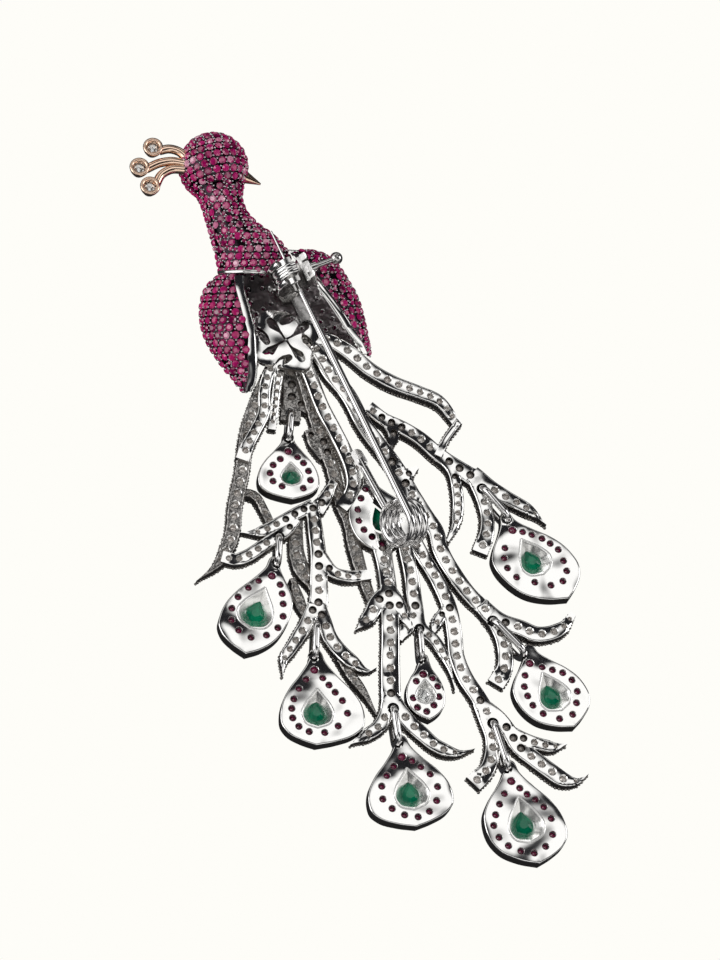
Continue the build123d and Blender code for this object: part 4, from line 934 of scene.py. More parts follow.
def hole_places(lines, taken):
    """Middle and radius of the holes along the strips of a feather."""
    places = []
    for line, half, run in lines:
        place = HOLE_FIRST
        while place < run[-1] - HOLE_LAST:
            at = np.array([np.interp(place, run, line[:, 0]), np.interp(place, run, line[:, 1])])
            radius = min(HOLE_LARGEST, 2 * np.interp(place, run, half) * HOLE_SHARE)
            room = radius + HOLE_WALL
            free = all(np.linalg.norm(at - other) > room + reach for other, reach in places + taken)
            if radius >= HOLE_SMALLEST and free:
                places.append((at, radius))
                place += max(2 * radius + HOLE_GAP, HOLE_STEP * radius / HOLE_LARGEST)
            else:
                place += HOLE_TRY
    return places


def link_holes(which):
    """Middles and radii of the link holes, in the feathers (0) or in the drops (1), by the links' numbers."""
    places = {}
    for number in LINKS:
        ends = link_ends(number)
        way = (ends[1 - which] - ends[which]).normalized()
        radius = LINK_HOLE_SMALL if number in SMALL_LINKS else LINK_HOLE
        places[number] = (np.array((ends[which] + way * LINK_HOLE_SHIFT)[:]), radius)
    return places


def drop_edge(corners, z):
    """Outline of a drop as a closed ring."""
    top, left, right, tip = [spot(col, row, z).to_2d() for col, row in corners]
    axis = (tip - top).normalized()
    across = Vector((axis.y, -axis.x))
    length = (tip - top).length
    ring = []
    for corner, turn in ((left, 1), (right, -1)):
        down = (corner - top).dot(axis)
        out = (corner - top).dot(across) * turn
        side = across * turn
        line = [top, top + axis * DROP_CAP * DROP_SHOULDER[0] + side * DROP_CAP * DROP_SHOULDER[1]]
        for share, width in DROP_UPPER:
            line.append(top + axis * (down * share) + side * max(out * width, DROP_CAP))
        for share, width in DROP_LOWER:
            line.append(top + axis * (down + (length - down) * share) + side * out * width)
        line.append(tip)
        points = curve([tuple(point) for point in line], DROP_STEP)
        ring += list(points[:-1]) if turn > 0 else list(points[::-1][:-1])
    return np.array(ring)


def inset_points(ring, steps):
    """Points inside a ring, moved in by the given steps."""
    closed = np.vstack([ring[-1], ring, ring[0]])
    tangent = closed[2:] - closed[:-2]
    tangent /= np.linalg.norm(tangent, axis=1)[:, None]
    normal = np.stack([-tangent[:, 1], tangent[:, 0]], axis=1) * np.sign(signed_area(ring))
    return np.vstack([ring + normal * step for step in steps])


def edge_distance(points, ring):
    """Distance to the outline of a ring."""
    return nearest(points, np.vstack([ring, ring[:1]]))[0]


def pear_ring(drop, z, count=11):
    """Pear outline of a drop's window in the plan, its point towards the drop's top."""
    width, length = drop[4][0] * SQUARE, drop[4][1] * SQUARE
    top = spot(*drop[0], z).to_2d()
    middle = spot(*drop[5], z).to_2d()
    up = (top - middle).normalized()
    right = Vector((up.y, -up.x))
    half = curve([(width / 2 * out, length * (0.5 - share)) for share, out in PEAR], length / count / 2)
    ring = [(x, y) for x, y in half[:-1]] + [(-x, y) for x, y in half[::-1][:-1]]
    return [tuple(middle + right * x + up * y) for x, y in ring]


def ruby_holes(drop, z):
    """Round holes of a drop's small stones."""
    radii = [BIG_RUBY_HOLE] + [RUBY_HOLE] * (len(drop[6]) - 1)
    return [
        (circle(spot(col, row, z).to_2d(), radius + RUBY_RIM), RUBY_WALLS)
        for (col, row), radius in zip(drop[6], radii)
    ]


def covers(centre, line, half):
    """Whether a strip covers a place."""
    distance, place, beyond = nearest(np.array([centre]), line)
    return distance[0] < np.interp(place[0], np.arange(len(half)), half) and not beyond[0]


def build_feather(name, rng, stones, grains):
    profile, strips = FEATHERS[name]
    level = level_curve(profile, strips)
    lines = [strip_line(points, widths, profile) for points, widths in strips]
    outlines = []
    inner = []
    for line, half, run in lines:
        normal = normals_of(line)
        left = line + normal * half[:, None]
        right = line - normal * half[:, None]
        if half[-1] < POINTED:
            left, right = left[:-1], np.vstack([right[:-1], line[-1:]])
        outlines.append(np.vstack([left, right[::-1]]))
        for step in EDGE_STEPS:
            reach = np.maximum(half - step, 0)
            fine = reach > NARROWEST
            out = normal * reach[:, None]
            inner += list((line + out)[fine]) + list((line - out)[fine])
        inner += list(line[1:-1])
    heads = []
    if name == "centre":
        heads.append(drop_edge(CENTRE_HEAD[:4], LEVEL + FEATHER_THICK / 2))
        inner += list(inset_points(heads[0], EDGE_STEPS))
    outlines += heads

    def height(points, radius, crown, sign):
        best = np.full(len(points), radius)
        for line, half, run in lines:
            distance, place, beyond = nearest(points, line)
            to_end = run[-1] - np.interp(place, np.arange(len(run)), run)
            wide = np.interp(place, np.arange(len(half)), half)
            inside = wide - distance
            if half[-1] > POINTED:
                inside = np.minimum(inside, to_end)
            fall = rounding(inside, radius) + crown * np.clip(distance / np.maximum(wide, POINTED), 0, 1) ** 2
            if crown:
                fall = fall + END_DIP * np.clip(1 - to_end / END_LENGTH, 0, 1) ** 2
            outside = (distance > wide + ASIDE) | (beyond & (distance > ASIDE))
            fall = np.where(outside, radius + crown, fall)
            best = np.minimum(best, fall)
        for ring in heads:
            inside = edge_distance(points, ring)
            best = np.where(points_in(points, ring), np.minimum(best, rounding(inside, radius)), best)
        return level(points[:, 1]) + sign * (FEATHER_THICK / 2 - best)

    def underside(points):
        return height(points, EDGE_ROUND, 0.0, -1)

    linked = [
        hole for hole in link_holes(0).values() if any(covers(hole[0], line, half) for line, half, _ in lines)
    ]
    holes = [(circle(centre, radius + LINK_RIM), LINK_WALLS) for centre, radius in linked]
    taken = [(centre, radius + LINK_CLEAR) for centre, radius in linked]
    if heads:
        z = LEVEL + FEATHER_THICK / 2
        holes.append((pear_ring(CENTRE_HEAD, z), WINDOW_WALLS))
        holes += ruby_holes(CENTRE_HEAD, z)
        taken.append((np.array(spot(*CENTRE_HEAD[5], z)[:2]), HEAD_CLEAR))
    pierced = [strip for index, strip in enumerate(lines) if (name, index) != PLAIN_STRIP]
    for centre, radius in hole_places(pierced, taken):
        holes.append((circle(centre, radius), ROUND_WALLS))
        low = float(level(np.array([centre[1]]))[0]) - FEATHER_THICK / 2
        heights = [low + lift for lift in STONE_HEIGHTS]
        pavilion(stones, centre, radius * STONE_IN_HOLE, heights, rng.uniform(0, 3))
    shape = plate(
        outlines, inner, holes, lambda p: height(p, EDGE_ROUND, CROWN, 1), underside, FEATHER_STRAY, rng
    )
    edge_grains(grains, outlines, underside, rng)
    # The deeper feathers' darker backs are painted shade
    back = frosted_shaded if name in FROSTED_SHADED else polished
    return mesh_object("feather_" + name, shape, [back] + PLATE_METALS[1:], "white_gold")


def build_feathers():
    stones = Shape()
    grains = Shape()
    for index, name in enumerate(FEATHERS):
        piece = build_feather(name, np.random.default_rng(100 + index), stones, grains)
        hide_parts("tail_frame")
    mesh_object("feather_stones", stones, [diamond], "diamond", smooth=False)
    mesh_object("feather_grains", grains, [shaded_grain_metal], "white_gold", angle=80)


# Drops


def pear_stone(number, drop, high):
    """Back of the pear-cut stone that shows in a window, and the collar round the window."""
    ring = np.array(pear_ring(drop, high, 5))
    middle = ring.mean(axis=0)
    rings = [
        [(*(middle + (place - middle) * scale), high + lift) for place in ring]
        for scale, lift in PEAR_STONE_RINGS
    ]
    stone, slot = (clear, "diamond") if number == 8 else (emerald, "emerald")
    shape = Shape().add(rings, start=True, end=True)
    piece = mesh_object(f"pear_stone_{number}", shape, [stone], slot, smooth=False)
    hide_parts(f"emerald_{number}")
    outer = middle + (np.array(pear_ring(drop, high, 12)) - middle) * COLLAR_SHARE
    line = [Vector((x, y, high - COLLAR_SINK)) for x, y in np.vstack([outer, outer[:1]])]
    swept_tube(f"collar_{number}", line, COLLAR, seat_metal, "white_gold", sides=8)


def build_drops():
    metals = [polished, shaded_wall_metal, seat_metal, frosted_shaded]
    for number, drop in DROPS.items():
        high = LEVEL + DROP_THICK / 2
        ring = drop_edge(drop[:4], high)
        inner = inset_points(ring, DROP_STEPS)
        inner = inner[points_in(inner, ring)]
        centre, radius = link_holes(1)[number]
        holes = [(circle(centre, radius + LINK_RIM), LINK_WALLS), (pear_ring(drop, high, 16), WINDOW_WALLS)]
        holes += ruby_holes(drop, high)
        start = spot(*drop[0], high).to_2d()
        way = spot(*drop[3], high).to_2d() - start

        def top(points, ring=ring, start=start, way=way):
            share = ((points - np.array(start[:])) @ np.array(way[:])) / way.length_squared
            dip = DROP_DIP * np.clip(1 - share / DROP_DIP_SHARE, 0, 1) ** 2
            return LEVEL + DROP_THICK / 2 - dip - rounding(edge_distance(points, ring), EDGE_ROUND)

        def bottom(points, ring=ring):
            return LEVEL - DROP_THICK / 2 + rounding(edge_distance(points, ring), EDGE_ROUND)

        rng = np.random.default_rng(200 + number)
        shape = plate([ring], list(inner), holes, top, bottom, DROP_STRAY, rng)
        piece = mesh_object(f"eye_drop_{number}", shape, metals, "white_gold")
        pear_stone(number, drop, high)
        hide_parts(f"drop_plate_{number}")


# Bird


def smooth_rows(table, row):
    """Values of a table at a row, along smooth curves through its rows."""
    if id(table) not in ROW_CURVES:
        ROW_CURVES[id(table)] = [
            curve([(line[0], line[column]) for line in table], ROW_STEP)
            for column in range(1, len(table[0]))
        ]
    return [float(np.interp(row, knots[:, 0], knots[:, 1])) for knots in ROW_CURVES[id(table)]]


def neck_ring(row, count=72):
    """Closed section of the neck as points."""
    left, right, middle, half = smooth_rows(NECK, row)
    across = (spot(MIDDLE_COL + 1, row, 0) - spot(MIDDLE_COL, row, 0)).normalized()
    sight = spot(MIDDLE_COL, row, 1) - spot(MIDDLE_COL, row, 0)
    centre = spot((left + right) / 2, row, middle * BIRD_DEPTH)
    ring = ring_at(centre, across * (right - left) / 2 * SQUARE, sight * half * BIRD_DEPTH, 1, count)
    return ring + ring[:1]


def arc_through(first, middle, last, count=40):
    """Points of the circle arc through three places."""
    a, b = middle - first, last - first
    normal = a.cross(b)
    if normal.length < 1e-6:
        return [first.lerp(last, i / count) for i in range(count + 1)]
    to_centre = a.length_squared * b.cross(normal) + b.length_squared * normal.cross(a)
    centre = first + to_centre / (2 * normal.length_squared)
    start = first - centre
    axis = normal.normalized()
    angle = start.angle(last - centre)
    if start.cross(last - centre).dot(axis) < 0:
        angle = 2 * math.pi - angle
    return [centre + Matrix.Rotation(angle * i / count, 3, axis) @ start for i in range(count + 1)]


def wing_arc(table, row):
    """Section of a wing, from its rim over its side to its foot."""
    rim, side, foot, rim_z, side_z, foot_z = smooth_rows(table, row)
    corners = ((rim, rim_z), (side, side_z), (foot, foot_z))
    return arc_through(*(spot(col, row, z * BIRD_DEPTH) for col, z in corners))


def head_ring(centre, axis, angle, count=72):
    """Ring round the head, at an angle from the axis."""
    side = axis.orthogonal().normalized()
    middle = centre + axis * HEAD_RADIUS * math.cos(angle)
    ring = ring_at(middle, side, axis.cross(side), HEAD_RADIUS * math.sin(angle), count)
    return ring + ring[:1]


def unplaced(place):
    """Place in millimetres of a place in the frame."""
    return Vector((place[0] / MM + ORIGIN.x, place[1] / MM + ORIGIN.y, place[2] / MM + ORIGIN.z))


class Field:
    """Pave of one part of the bird: its stones, the beads between them and the open backs in its hollow."""

    def __init__(self, seed, node):
        self.random = random.Random(seed)
        self.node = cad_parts[node]
        self.stones = Shape()
        self.beads = Shape()
        self.backs = Shape()
        self.cells = {}

    def snap(self, place, normal):
        """Place of the solid's outer surface under a place and its normal, or None where there is none."""
        start = Vector(placed(*(place + normal * SNAP_REACH)))
        found, near, facing, _ = self.node.ray_cast(start, -normal, distance=2 * SNAP_REACH * MM)
        if not found or abs(facing.dot(normal)) < FACING_LEAST:
            return None
        return unplaced(near), facing if facing.dot(normal) > 0 else -facing

    def free(self, place):
        """Distance to the nearest stone that is already there."""
        x, y, z = (round(value) for value in place)
        best = FREE_MOST
        for dx, dy, dz in product((-1, 0, 1), repeat=3):
            for other, reach in self.cells.get((x + dx, y + dy, z + dz), ()):
                best = min(best, (other - place).length - reach)
        return best

    def stone(self, place, normal, tangent, radius):
        """Faceted stone in one of the reds, turned and tilted a little at random; facets in the next red are
        painted sparkle.
        """
        self.cells.setdefault(tuple(round(value) for value in place), []).append((place.copy(), radius))
        side = normal.cross(tangent).normalized()
        ahead = side.cross(normal).normalized()
        lean = self.random.uniform(0, math.pi / 4)
        first = ahead * radius + normal * self.random.uniform(-STONE_TILT, STONE_TILT)
        second = side * radius + normal * self.random.uniform(-STONE_TILT, STONE_TILT)
        self.stones.add([
            ring_at(place + normal * lift, first, second, scale, FACETS, lean) for scale, lift in STONE_RINGS
        ], end=True)
        kind = self.random.choice(RED_CHANCES)
        # Facets that take the next red, lighter or darker, are painted light and shade across the stone
        facets = [kind if self.random.random() < OWN_RED else (kind + 1) % 3 for _ in range(2 * FACETS)]
        self.stones.kinds += facets[FACETS:] + facets[:FACETS] + [kind]

    def bead(self, place, normal):
        side = normal.orthogonal().normalized()
        other = normal.cross(side)
        self.beads.add([
            ring_at(place + normal * BEAD * lift, side, other, BEAD * scale, BEAD_SIDES)
            for scale, lift in BEAD_RINGS
        ], tip=place + normal * BEAD * BEAD_TOP)

    def samples(self, tries):
        """Places at random all over the solid's surface, with their normals."""
        mesh = self.node.data
        mesh.calc_loop_triangles()
        triangles = mesh.loop_triangles
        areas = np.cumsum([triangle.area for triangle in triangles])
        for _ in range(tries):
            triangle = triangles[int(np.searchsorted(areas, self.random.random() * areas[-1]))]
            a, b, c = (mesh.vertices[index].co for index in triangle.vertices)
            u, v = self.random.random(), self.random.random()
            if u + v > 1:
                u, v = 1 - u, 1 - v
            yield unplaced(a + (b - a) * u + (c - a) * v), triangle.normal.copy()

    def fill(self, outside, tries):
        """Stones in what the rows leave bare, where outside(place, normal) says that the surface shows."""
        for place, normal in self.samples(tries):
            if not outside(place, normal):
                continue
            radius = min(PAVE_STONE, self.free(place) - STONE_GAP)
            if radius < SMALLEST_STONE:
                continue
            tangent = normal.orthogonal().normalized()
            self.stone(place, normal, tangent, radius)
            for turn in BEAD_TURNS:
                self.bead(place + Matrix.Rotation(turn, 3, normal) @ tangent * (radius + BEAD_GAP), normal)

    def open_backs(self, inside, tries):
        """Small open backs of stones in the walls of the hollow."""
        taken = []
        for place, normal in self.samples(tries):
            if inside(place, normal) and all((place - other).length > AZURE_STEP for other in taken):
                taken.append(place)
                side = normal.orthogonal().normalized()
                other = normal.cross(side)
                self.backs.add([
                    ring_at(place + normal * lift, side, other, AZURE * scale, AZURE_SIDES)
                    for scale, lift in AZURE_RINGS
                ], end=True)
                self.backs.kinds += [0] * (3 * AZURE_SIDES) + [1]

    def rows(self, lines, inside, closed):
        """Stones along each line in turn, every other line set half a step on. inside is a place within."""
        for number, line in enumerate(lines):
            steps = [(b - a).length for a, b in zip(line, line[1:])]
            total = sum(steps)
            if total < PAVE_STEP * ROW_LEAST:
                continue
            count = max(3 if closed else 1, round(total / PAVE_STEP))
            step = total / count
            odd = number % 2
            if closed:
                start = step * 0.5 * odd
            else:
                start = step if odd else step / 2
                count -= odd
            other = lines[number + 1] if number + 1 < len(lines) else lines[number - 1]
            for k in range(count):
                along_line = start + k * step
                place, tangent = self.walk(line, steps, along_line % total if closed else along_line)
                ahead = min(other, key=lambda q: (q - place).length_squared) - place
                normal = tangent.cross(ahead).normalized()
                if normal.dot(place - inside(place)) < 0:
                    normal = -normal
                snapped = self.snap(place, normal)
                radius = min(PAVE_STONE, step * STONE_SHARE)
                if snapped is None or self.free(snapped[0]) < radius * ROOM_SHARE:
                    continue
                place, normal = snapped
                self.stone(place, normal, tangent, radius)
                middle = place + tangent * step / 2
                way = normal.cross(tangent) * PAVE_ROW * BEAD_ASIDE
                self.bead(middle + way, normal)
                self.bead(middle - way, normal)

    @staticmethod
    def walk(line, steps, distance):
        """Place and direction at a distance along a line."""
        for a, b, step in zip(line, line[1:], steps):
            if distance <= step:
                return a.lerp(b, distance / step if step else 0), (b - a).normalized()
            distance -= step
        return line[-1].copy(), (line[-1] - line[-2]).normalized()

    def finish(self, name):
        mesh_object(name + "_rubies", self.stones, PAVE_RUBIES, "ruby", smooth=False)
        mesh_object(name + "_beads", self.beads, [glint_bead_metal], "blackened_gold", angle=80)
        mesh_object(name + "_backs", self.backs, [seat_metal, ruby_dark], "white_gold", angle=50)


def even_rows(ring_of, first, last):
    """Rows between two values of a parameter, evenly apart along the surface."""
    values = np.linspace(first, last, ROW_PROBES)
    probe = [ring_of(float(value)) for value in values]
    gaps = [
        np.mean([(a - b).length for a, b in zip(one[::PROBE_STEP], two[::PROBE_STEP])])
        for one, two in zip(probe, probe[1:])
    ]
    run = np.concatenate([[0.0], np.cumsum(gaps)])
    count = max(1, round(run[-1] / PAVE_ROW))
    return [ring_of(float(value)) for value in np.interp(np.linspace(0, run[-1], count + 1), run, values)]


def sketch_row(place):
    """Row of the sketch on which a place shows."""
    roll = math.radians(ROLL)
    pitch = math.radians(PITCH)
    up = place.y * math.cos(pitch) - place.x * math.sin(roll) * math.sin(pitch)
    up += place.z * math.cos(roll) * math.sin(pitch)
    return MIDDLE_ROW - up / SQUARE


def held(row, table):
    return min(max(row, table[0][0]), table[-1][0])


def neck_middle(place):
    row = held(sketch_row(place), NECK)
    left, right, middle, half = smooth_rows(NECK, row)
    return spot((left + right) / 2, row, middle * BIRD_DEPTH)


def wing_middle(place, table):
    row = held(sketch_row(place), table)
    rim, side, foot, rim_z, side_z, foot_z = smooth_rows(table, row)
    inward = WING_INWARD if table is WING_LEFT else -WING_INWARD
    return spot((rim + foot) / 2 + inward, row, min(rim_z, foot_z) * BIRD_DEPTH)


def on_rim(place, table):
    """Whether a place lies on the polished band along a wing's rim."""
    row = held(sketch_row(place), table)
    values = smooth_rows(table, row)
    rim = spot(values[0], row, values[3] * BIRD_DEPTH)
    inward = (place.x - rim.x) * (1 if table is WING_LEFT else -1)
    return -RIM_MARGIN < inward < BIRD_WALL + RIM_MARGIN and abs(place.z - rim.z) < RIM_HEIGHT


def pave_bird():
    head = spot(*HEAD_SPOT, HEAD_HEIGHT)
    neck = spot(*NECK_SPOT, NECK_HEIGHT)
    axis = (head - neck).normalized()
    field = Field(BODY_SEED, "bird_body")
    field.rows(even_rows(lambda angle: head_ring(head, axis, angle), *HEAD_ANGLES), lambda place: head, True)
    field.rows(even_rows(neck_ring, *NECK_ROWS), neck_middle, True)

    def outside(place, normal):
        row = sketch_row(place)
        if row > HOLLOW_ROW - 0.1:
            return normal.z < -0.1
        if (place - head).length < HEAD_RADIUS + 0.3:
            return normal.dot(place - head) > 0
        return normal.dot(place - neck_middle(place)) > 0.2 and normal.y > -0.6

    def hollow(place, normal):
        return sketch_row(place) > HOLLOW_ROW and normal.z > 0.5

    field.fill(outside, BODY_TRIES)
    field.open_backs(hollow, BACK_TRIES)
    field.finish("body")
    for name, table in (("wing_left", WING_LEFT), ("wing_right", WING_RIGHT)):
        field = Field(WING_SEED + len(name), name)
        first, last = table[0][0] + WING_MARGINS[0], table[-1][0] - WING_MARGINS[1]
        rows = even_rows(lambda row, table=table: wing_arc(table, row), first, last)
        field.rows(rows, lambda place, table=table: wing_middle(place, table), False)

        def outside(place, normal, table=table):
            return normal.dot(place - wing_middle(place, table)) > 0.35 and not on_rim(place, table)

        def hollow(place, normal, table=table):
            return normal.dot(place - wing_middle(place, table)) < -0.3

        field.fill(outside, WING_TRIES)
        field.open_backs(hollow, BACK_TRIES)
        field.finish(name)


def bird_rims():
    """Polished rims: along both wings and round the neck's open end."""
    for name, table, turn in (("wing_left_rim", WING_LEFT, 1), ("wing_right_rim", WING_RIGHT, -1)):
        rings = []
        for row in np.linspace(table[0][0] + 0.1, table[-1][0] - 0.05, RIM_STATIONS):
            rim, side, _, rim_z, _, _ = smooth_rows(table, row)
            wall = turn * min(BIRD_WALL / SQUARE, RIM_LEAST + RIM_GROWTH * abs(rim - side))
            ring = [spot(rim + wall * share, row, rim_z * BIRD_DEPTH + lift) for share, lift in RIM_PROFILE]
            rings.append(ring[::turn])
        mesh_object(name, Shape().add(rings, closed=False), [polished], "white_gold", angle=50)
    swept_tube("neck_rim", neck_ring(NECK_RIM_ROW)[2:35], NECK_RIM, polished, "white_gold")


# Gallery, crest and catch


def blade(points, halves, cap=7):
    """Ring round a curved slot that ends in a round bulb; halves are its half widths along the way."""
    line = curve(points, BLADE_STEP)
    run = along(line)
    half = np.interp(run / run[-1], np.linspace(0, 1, len(halves)), halves)
    normal = normals_of(line)
    left = line + normal * half[:, None]
    right = line - normal * half[:, None]
    end = line[-1]
    first = math.atan2(*(left[-1] - end)[::-1])
    round_end = [
        end + half[-1] * np.array((math.cos(first - math.pi * i / cap), math.sin(first - math.pi * i / cap)))
        for i in range(1, cap)
    ]
    return np.vstack([left, round_end, right[::-1]])


def turned(points, quarter):
    """Points turned about the gallery's middle by quarters and by its lean."""
    angle = math.radians(90 * quarter + GALLERY_LEAN)
    turn = np.array(((math.cos(angle), -math.sin(angle)), (math.sin(angle), math.cos(angle))))
    return [tuple(turn @ np.array(point)) for point in points]


def gallery():
    """Pierced pinwheel over the roots of the feathers: four S-shaped lobes."""
    low, high = (unplaced(corner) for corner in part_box("gallery_plate"))
    shift = np.array(((low + high) / 2).to_2d()[:])
    edge = [point for quarter in range(4) for point in turned(GALLERY_EDGE, quarter)]
    loop = curve(edge + edge[:2], GALLERY_STEP)
    half = len(loop) // 2
    from_start = np.linalg.norm(loop - np.array(edge[1]), axis=1)
    outside = loop[int(np.argmin(from_start[:half])):half + int(np.argmin(from_start[half:]))] + shift
    slots = [
        np.array(turned(blade(points, halves), quarter)) + shift
        for quarter in range(4)
        for points, halves in ((GALLERY_SLOT, SLOT_HALVES), (GALLERY_NOTCH, NOTCH_HALVES))
    ]
    steps = range(-7, 8)
    grid = [(x * GALLERY_GRID, y * GALLERY_GRID) for x in steps for y in steps if math.hypot(x, y) < 8.2]
    inner = np.array(grid) + shift
    inner = inner[~np.any([points_in(inner, slot) for slot in slots], axis=0)]
    shape = plate(
        [outside], list(inner), [(slot, ()) for slot in slots],
        lambda points: high.z - rounding(edge_distance(points, outside), GALLERY_ROUND),
        lambda points: np.full(len(points), low.z),
    )
    piece = mesh_object("gallery", shape, [polished, shaded_wall_metal, shaded_wall_metal, frosted_shaded], "white_gold")
    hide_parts("gallery_plate")


def crest():
    pieces = []
    for number, (cup, stem) in enumerate(zip(CREST_CUPS, CREST_STEMS), 1):
        centre = spot(*cup, CREST_HEIGHT)
        pieces.append(lathe(f"crest_cup_{number}", centre, CUP_PROFILE, rose, "rose_gold"))
        plan = curve([tuple(spot(col, row, STEM_HEIGHT)) for col, row in stem], STEM_STEP)
        path = [Vector((x, y, STEM_HEIGHT)) for x, y in plan]
        pieces.append(swept_tube(f"crest_stem_{number}", path, STEM_RADIUS, rose, "rose_gold"))
        stone = Shape()
        pavilion(stone, centre.to_2d(), CREST_STONE, [centre.z + lift for lift in CREST_STONE_HEIGHTS])
        gem_piece = mesh_object(f"crest_stone_{number}", stone, [clear], "diamond", smooth=False)
        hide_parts(f"crest_diamond_{number}")
    for piece in pieces:
        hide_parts("crest")


def catch_dress():
    """Rounded bands on the rings of the catch, the cup under them and its knob."""
    tip, turn = spot(*PIN_TIP_SPOT, PIN_HEIGHT), spot(*PIN_TURN_SPOT, PIN_HEIGHT)
    ahead = (turn - tip).normalized()
    side = ahead.cross(UP)
    if side.x < 0:
        side = -side
    centre = tip + ahead * (spot(*CATCH_SPOT, PIN_HEIGHT) - tip).dot(ahead)
    for number, (body, shift, half, radius, first, last) in enumerate(CATCH_BANDS, 1):
        rings = []
        for angle in np.radians(np.linspace(first, last, BAND_STATIONS)):
            way = UP * math.cos(angle) + side * math.sin(angle)
            rings.append([
                centre + way * (radius + lift) - ahead * (shift + half * out) for out, lift in BAND_PROFILE
            ])
        shape = Shape().add(rings, start=True, end=True)
        mesh_object(f"catch_band_{number}", shape, [pin_metal], "white_gold", angle=50, body=body)
    cup = spot(*CUP_SPOT, CUP_FLOOR)
    lathe("catch_cup", cup, CATCH_CUP_PROFILE, frosted_shaded, "white_gold")
    knob = spot(*KNOB_SPOT, CUP_FLOOR + KNOB_LIFT)
    line = [knob.lerp(cup + UP * KNOB_LIFT, share) for share in (0, 0.25, 0.5, 0.75)]
    swept_tube("catch_knob_stem", line, KNOB_STEM, pin_metal, "white_gold")
    lathe("catch_knob", knob, KNOB_PROFILE, pin_metal, "white_gold")


def smooth_copy(name, material, slot, body=BODY):
    """Piece in the solid's own shape, with one smooth surface where the solid is round."""
    joined = bmesh.new()
    joined.from_mesh(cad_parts[name].data)
    bmesh.ops.remove_doubles(joined, verts=joined.verts, dist=SAME_PLACE * MM)
    joined.verts.index_update()
    vertices = [tuple(vertex.co) for vertex in joined.verts]
    faces = [tuple(vertex.index for vertex in face.verts) for face in joined.faces]
    joined.free()
    piece = mesh_object(name + "_finish", Shape(vertices, faces), [material], slot, angle=35, body=body)
    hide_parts(name)


def dress_nodes():
    """Smooth copies of the round solids, and materials of those that stay."""
    smooth_copy("pin_stem", pin_metal, "white_gold", "pin")
    smooth_copy("pin_spring", pin_metal, "white_gold")
    smooth_copy("catch_lever", barrel_metal, "white_gold", "catch_rotor")
    smooth_copy("catch_housing", catch_metal, "white_gold")
    smooth_copy("beak", rose, "rose_gold")
    for number in LINKS:
        smooth_copy(f"jump_ring_{number}", pin_metal, "white_gold")
    stay = {"drop_rubies": hole_ruby, "emerald_9": emerald}
    stay |= dict.fromkeys(("bird_body", "wing_left", "wing_right"), black_metal)
    for name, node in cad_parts.items():
        for place in node.material_slots:
            place.material = stay.get(name, polished)
    for name, table in (("bird_body", None), ("wing_left", WING_LEFT), ("wing_right", WING_RIGHT)):
        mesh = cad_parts[name].data
        mesh.materials.append(cavity)
        for polygon in mesh.polygons:
            place = unplaced(polygon.center)
            if table is None:
                inner = sketch_row(place) > HOLLOW_ROW - 0.3 and polygon.normal.z > -0.1
            else:
                rim_height = smooth_rows(table, held(sketch_row(place), table))[3] * BIRD_DEPTH
                faces_in = polygon.normal.dot(place - wing_middle(place, table)) < 0.1
                inner = faces_in and place.z < rim_height - RIM_HEIGHT
            if inner:
                polygon.material_index = len(mesh.materials) - 1


# Stage


def area_light(name, place, size, power):
    """Soft box that looks at the brooch."""
    data = bpy.data.lights.new(name, "AREA")
    data.shape = "RECTANGLE"
    data.size, data.size_y = size
    data.energy = power
    light = bpy.data.objects.new(name, data)
    light.location = place
    light.rotation_euler = (-Vector(place)).to_track_quat("-Z", "Y").to_euler()
    bpy.context.scene.collection.objects.link(light)


def stage():
    floor_mesh = bpy.data.meshes.new("floor")
    corners = [(x * FLOOR_REACH, y * FLOOR_REACH, 0) for x, y in ((-1, -1), (1, -1), (1, 1), (-1, 1))]
    floor_mesh.from_pydata(corners, [], [(0, 1, 2, 3)])
    floor = bpy.data.objects.new("floor", floor_mesh)
    bpy.context.scene.collection.objects.link(floor)
    floor_mesh.materials.append(shader(
        "pale_floor", (0.0, 0.0, 0.0), 0.0, 1.0,
        Specular_IOR_Level=0.0, Emission_Color=FLOOR_COLOR, Emission_Strength=1.0,
    ))
    floor.visible_glossy = False
    studio()
    for name, values in SOFT_BOXES.items():
        area_light(name, *values)


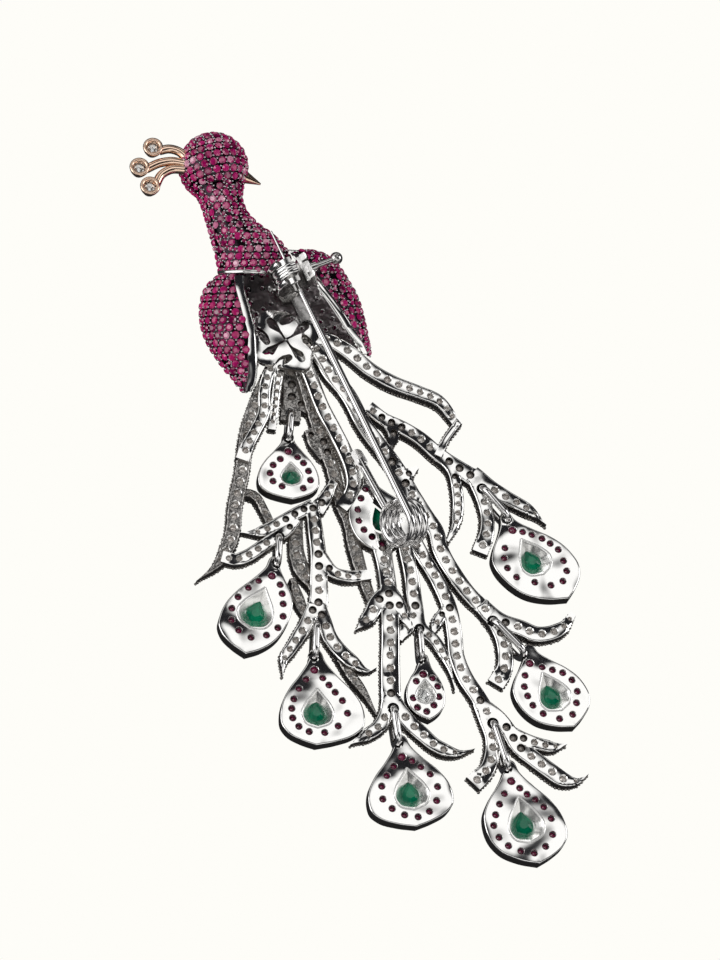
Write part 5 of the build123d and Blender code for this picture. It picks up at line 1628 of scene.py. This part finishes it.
def studio():
    """Room of pale screens with dark gaps between them, which the polished metal shows."""
    world = bpy.data.worlds.new("studio")
    bpy.context.scene.world = world
    world.use_nodes = True
    tree = world.node_tree
    link = tree.links.new
    way = new_node(tree, "TexCoord").outputs["Generated"]
    noise = new_node(tree, "TexNoise", Scale=STUDIO_PATCHES, Detail=1.0, Distortion=0.4)
    patches = two_colors(tree, (0.44, 0.54), ((0.008, 0.008, 0.01), (1.0, 0.995, 0.98)))
    split = new_node(tree, "SeparateXYZ")
    toward = new_node(tree, "VectorMath")
    toward.operation = "DOT_PRODUCT"
    toward.inputs[1].default_value = SCREEN_WAY
    for node, socket in ((noise, "Vector"), (split, "Vector"), (toward, 0)):
        link(way, node.inputs[socket])
    link(noise.outputs["Fac"], patches.inputs["Fac"])

    def share_of(value, low, high):
        """Share from 0 at low to 1 at high."""
        made = new_node(tree, "MapRange", From_Min=low, From_Max=high)
        link(value, made.inputs["Value"])
        return made.outputs["Result"]

    def near_screen(outer, inner):
        """Share that falls from 1 inside one angle about the screen to 0 outside another."""
        return share_of(toward.outputs["Value"], math.cos(math.radians(outer)), math.cos(math.radians(inner)))

    low_sky = new_node(tree, "MixRGB", Color1=STUDIO_LOW)
    link(patches.outputs["Color"], low_sky.inputs["Color2"])
    link(share_of(split.outputs["Z"], 0.05, 0.5), low_sky.inputs["Fac"])
    gap = new_node(tree, "MixRGB", Color2=STUDIO_GAP)
    link(low_sky.outputs["Color"], gap.inputs["Color1"])
    link(near_screen(GAP_OUTER, GAP_INNER), gap.inputs["Fac"])
    screen = new_node(tree, "MixRGB", Color2=STUDIO_SCREEN)
    link(gap.outputs["Color"], screen.inputs["Color1"])
    link(near_screen(SCREEN_OUTER, SCREEN_INNER), screen.inputs["Fac"])
    background = tree.nodes["Background"]
    link(screen.outputs["Color"], background.inputs["Color"])
    background.inputs["Strength"].default_value = STUDIO_STRENGTH


def camera():
    """At the photo's viewing angle, through a long lens."""
    roll, pitch = math.radians(ROLL), math.radians(PITCH)
    away = Vector((-math.sin(roll) * math.cos(pitch), -math.sin(pitch), math.cos(roll) * math.cos(pitch)))
    right = Vector((math.cos(roll), 0, math.sin(roll)))
    up = away.cross(right)
    distance = PHOTO_SQUARES * SQUARE * MM * LENS / FILM
    target = Vector(placed(0, 0, 0))
    data = bpy.data.cameras.new("camera")
    data.lens = LENS
    data.sensor_width = FILM
    data.sensor_fit = "AUTO"
    data.clip_start = 0.01
    view = bpy.data.objects.new("camera", data)
    turn = Matrix((right, up, away)).transposed().to_4x4()
    view.matrix_world = Matrix.Translation(target + away * distance) @ turn
    bpy.context.scene.collection.objects.link(view)
    bpy.context.scene.camera = view
    bpy.context.scene.view_settings.view_transform = "Standard"


dress_nodes()
build_feathers()
build_drops()
pave_bird()
bird_rims()
gallery()
crest()
catch_dress()
stage()
camera()
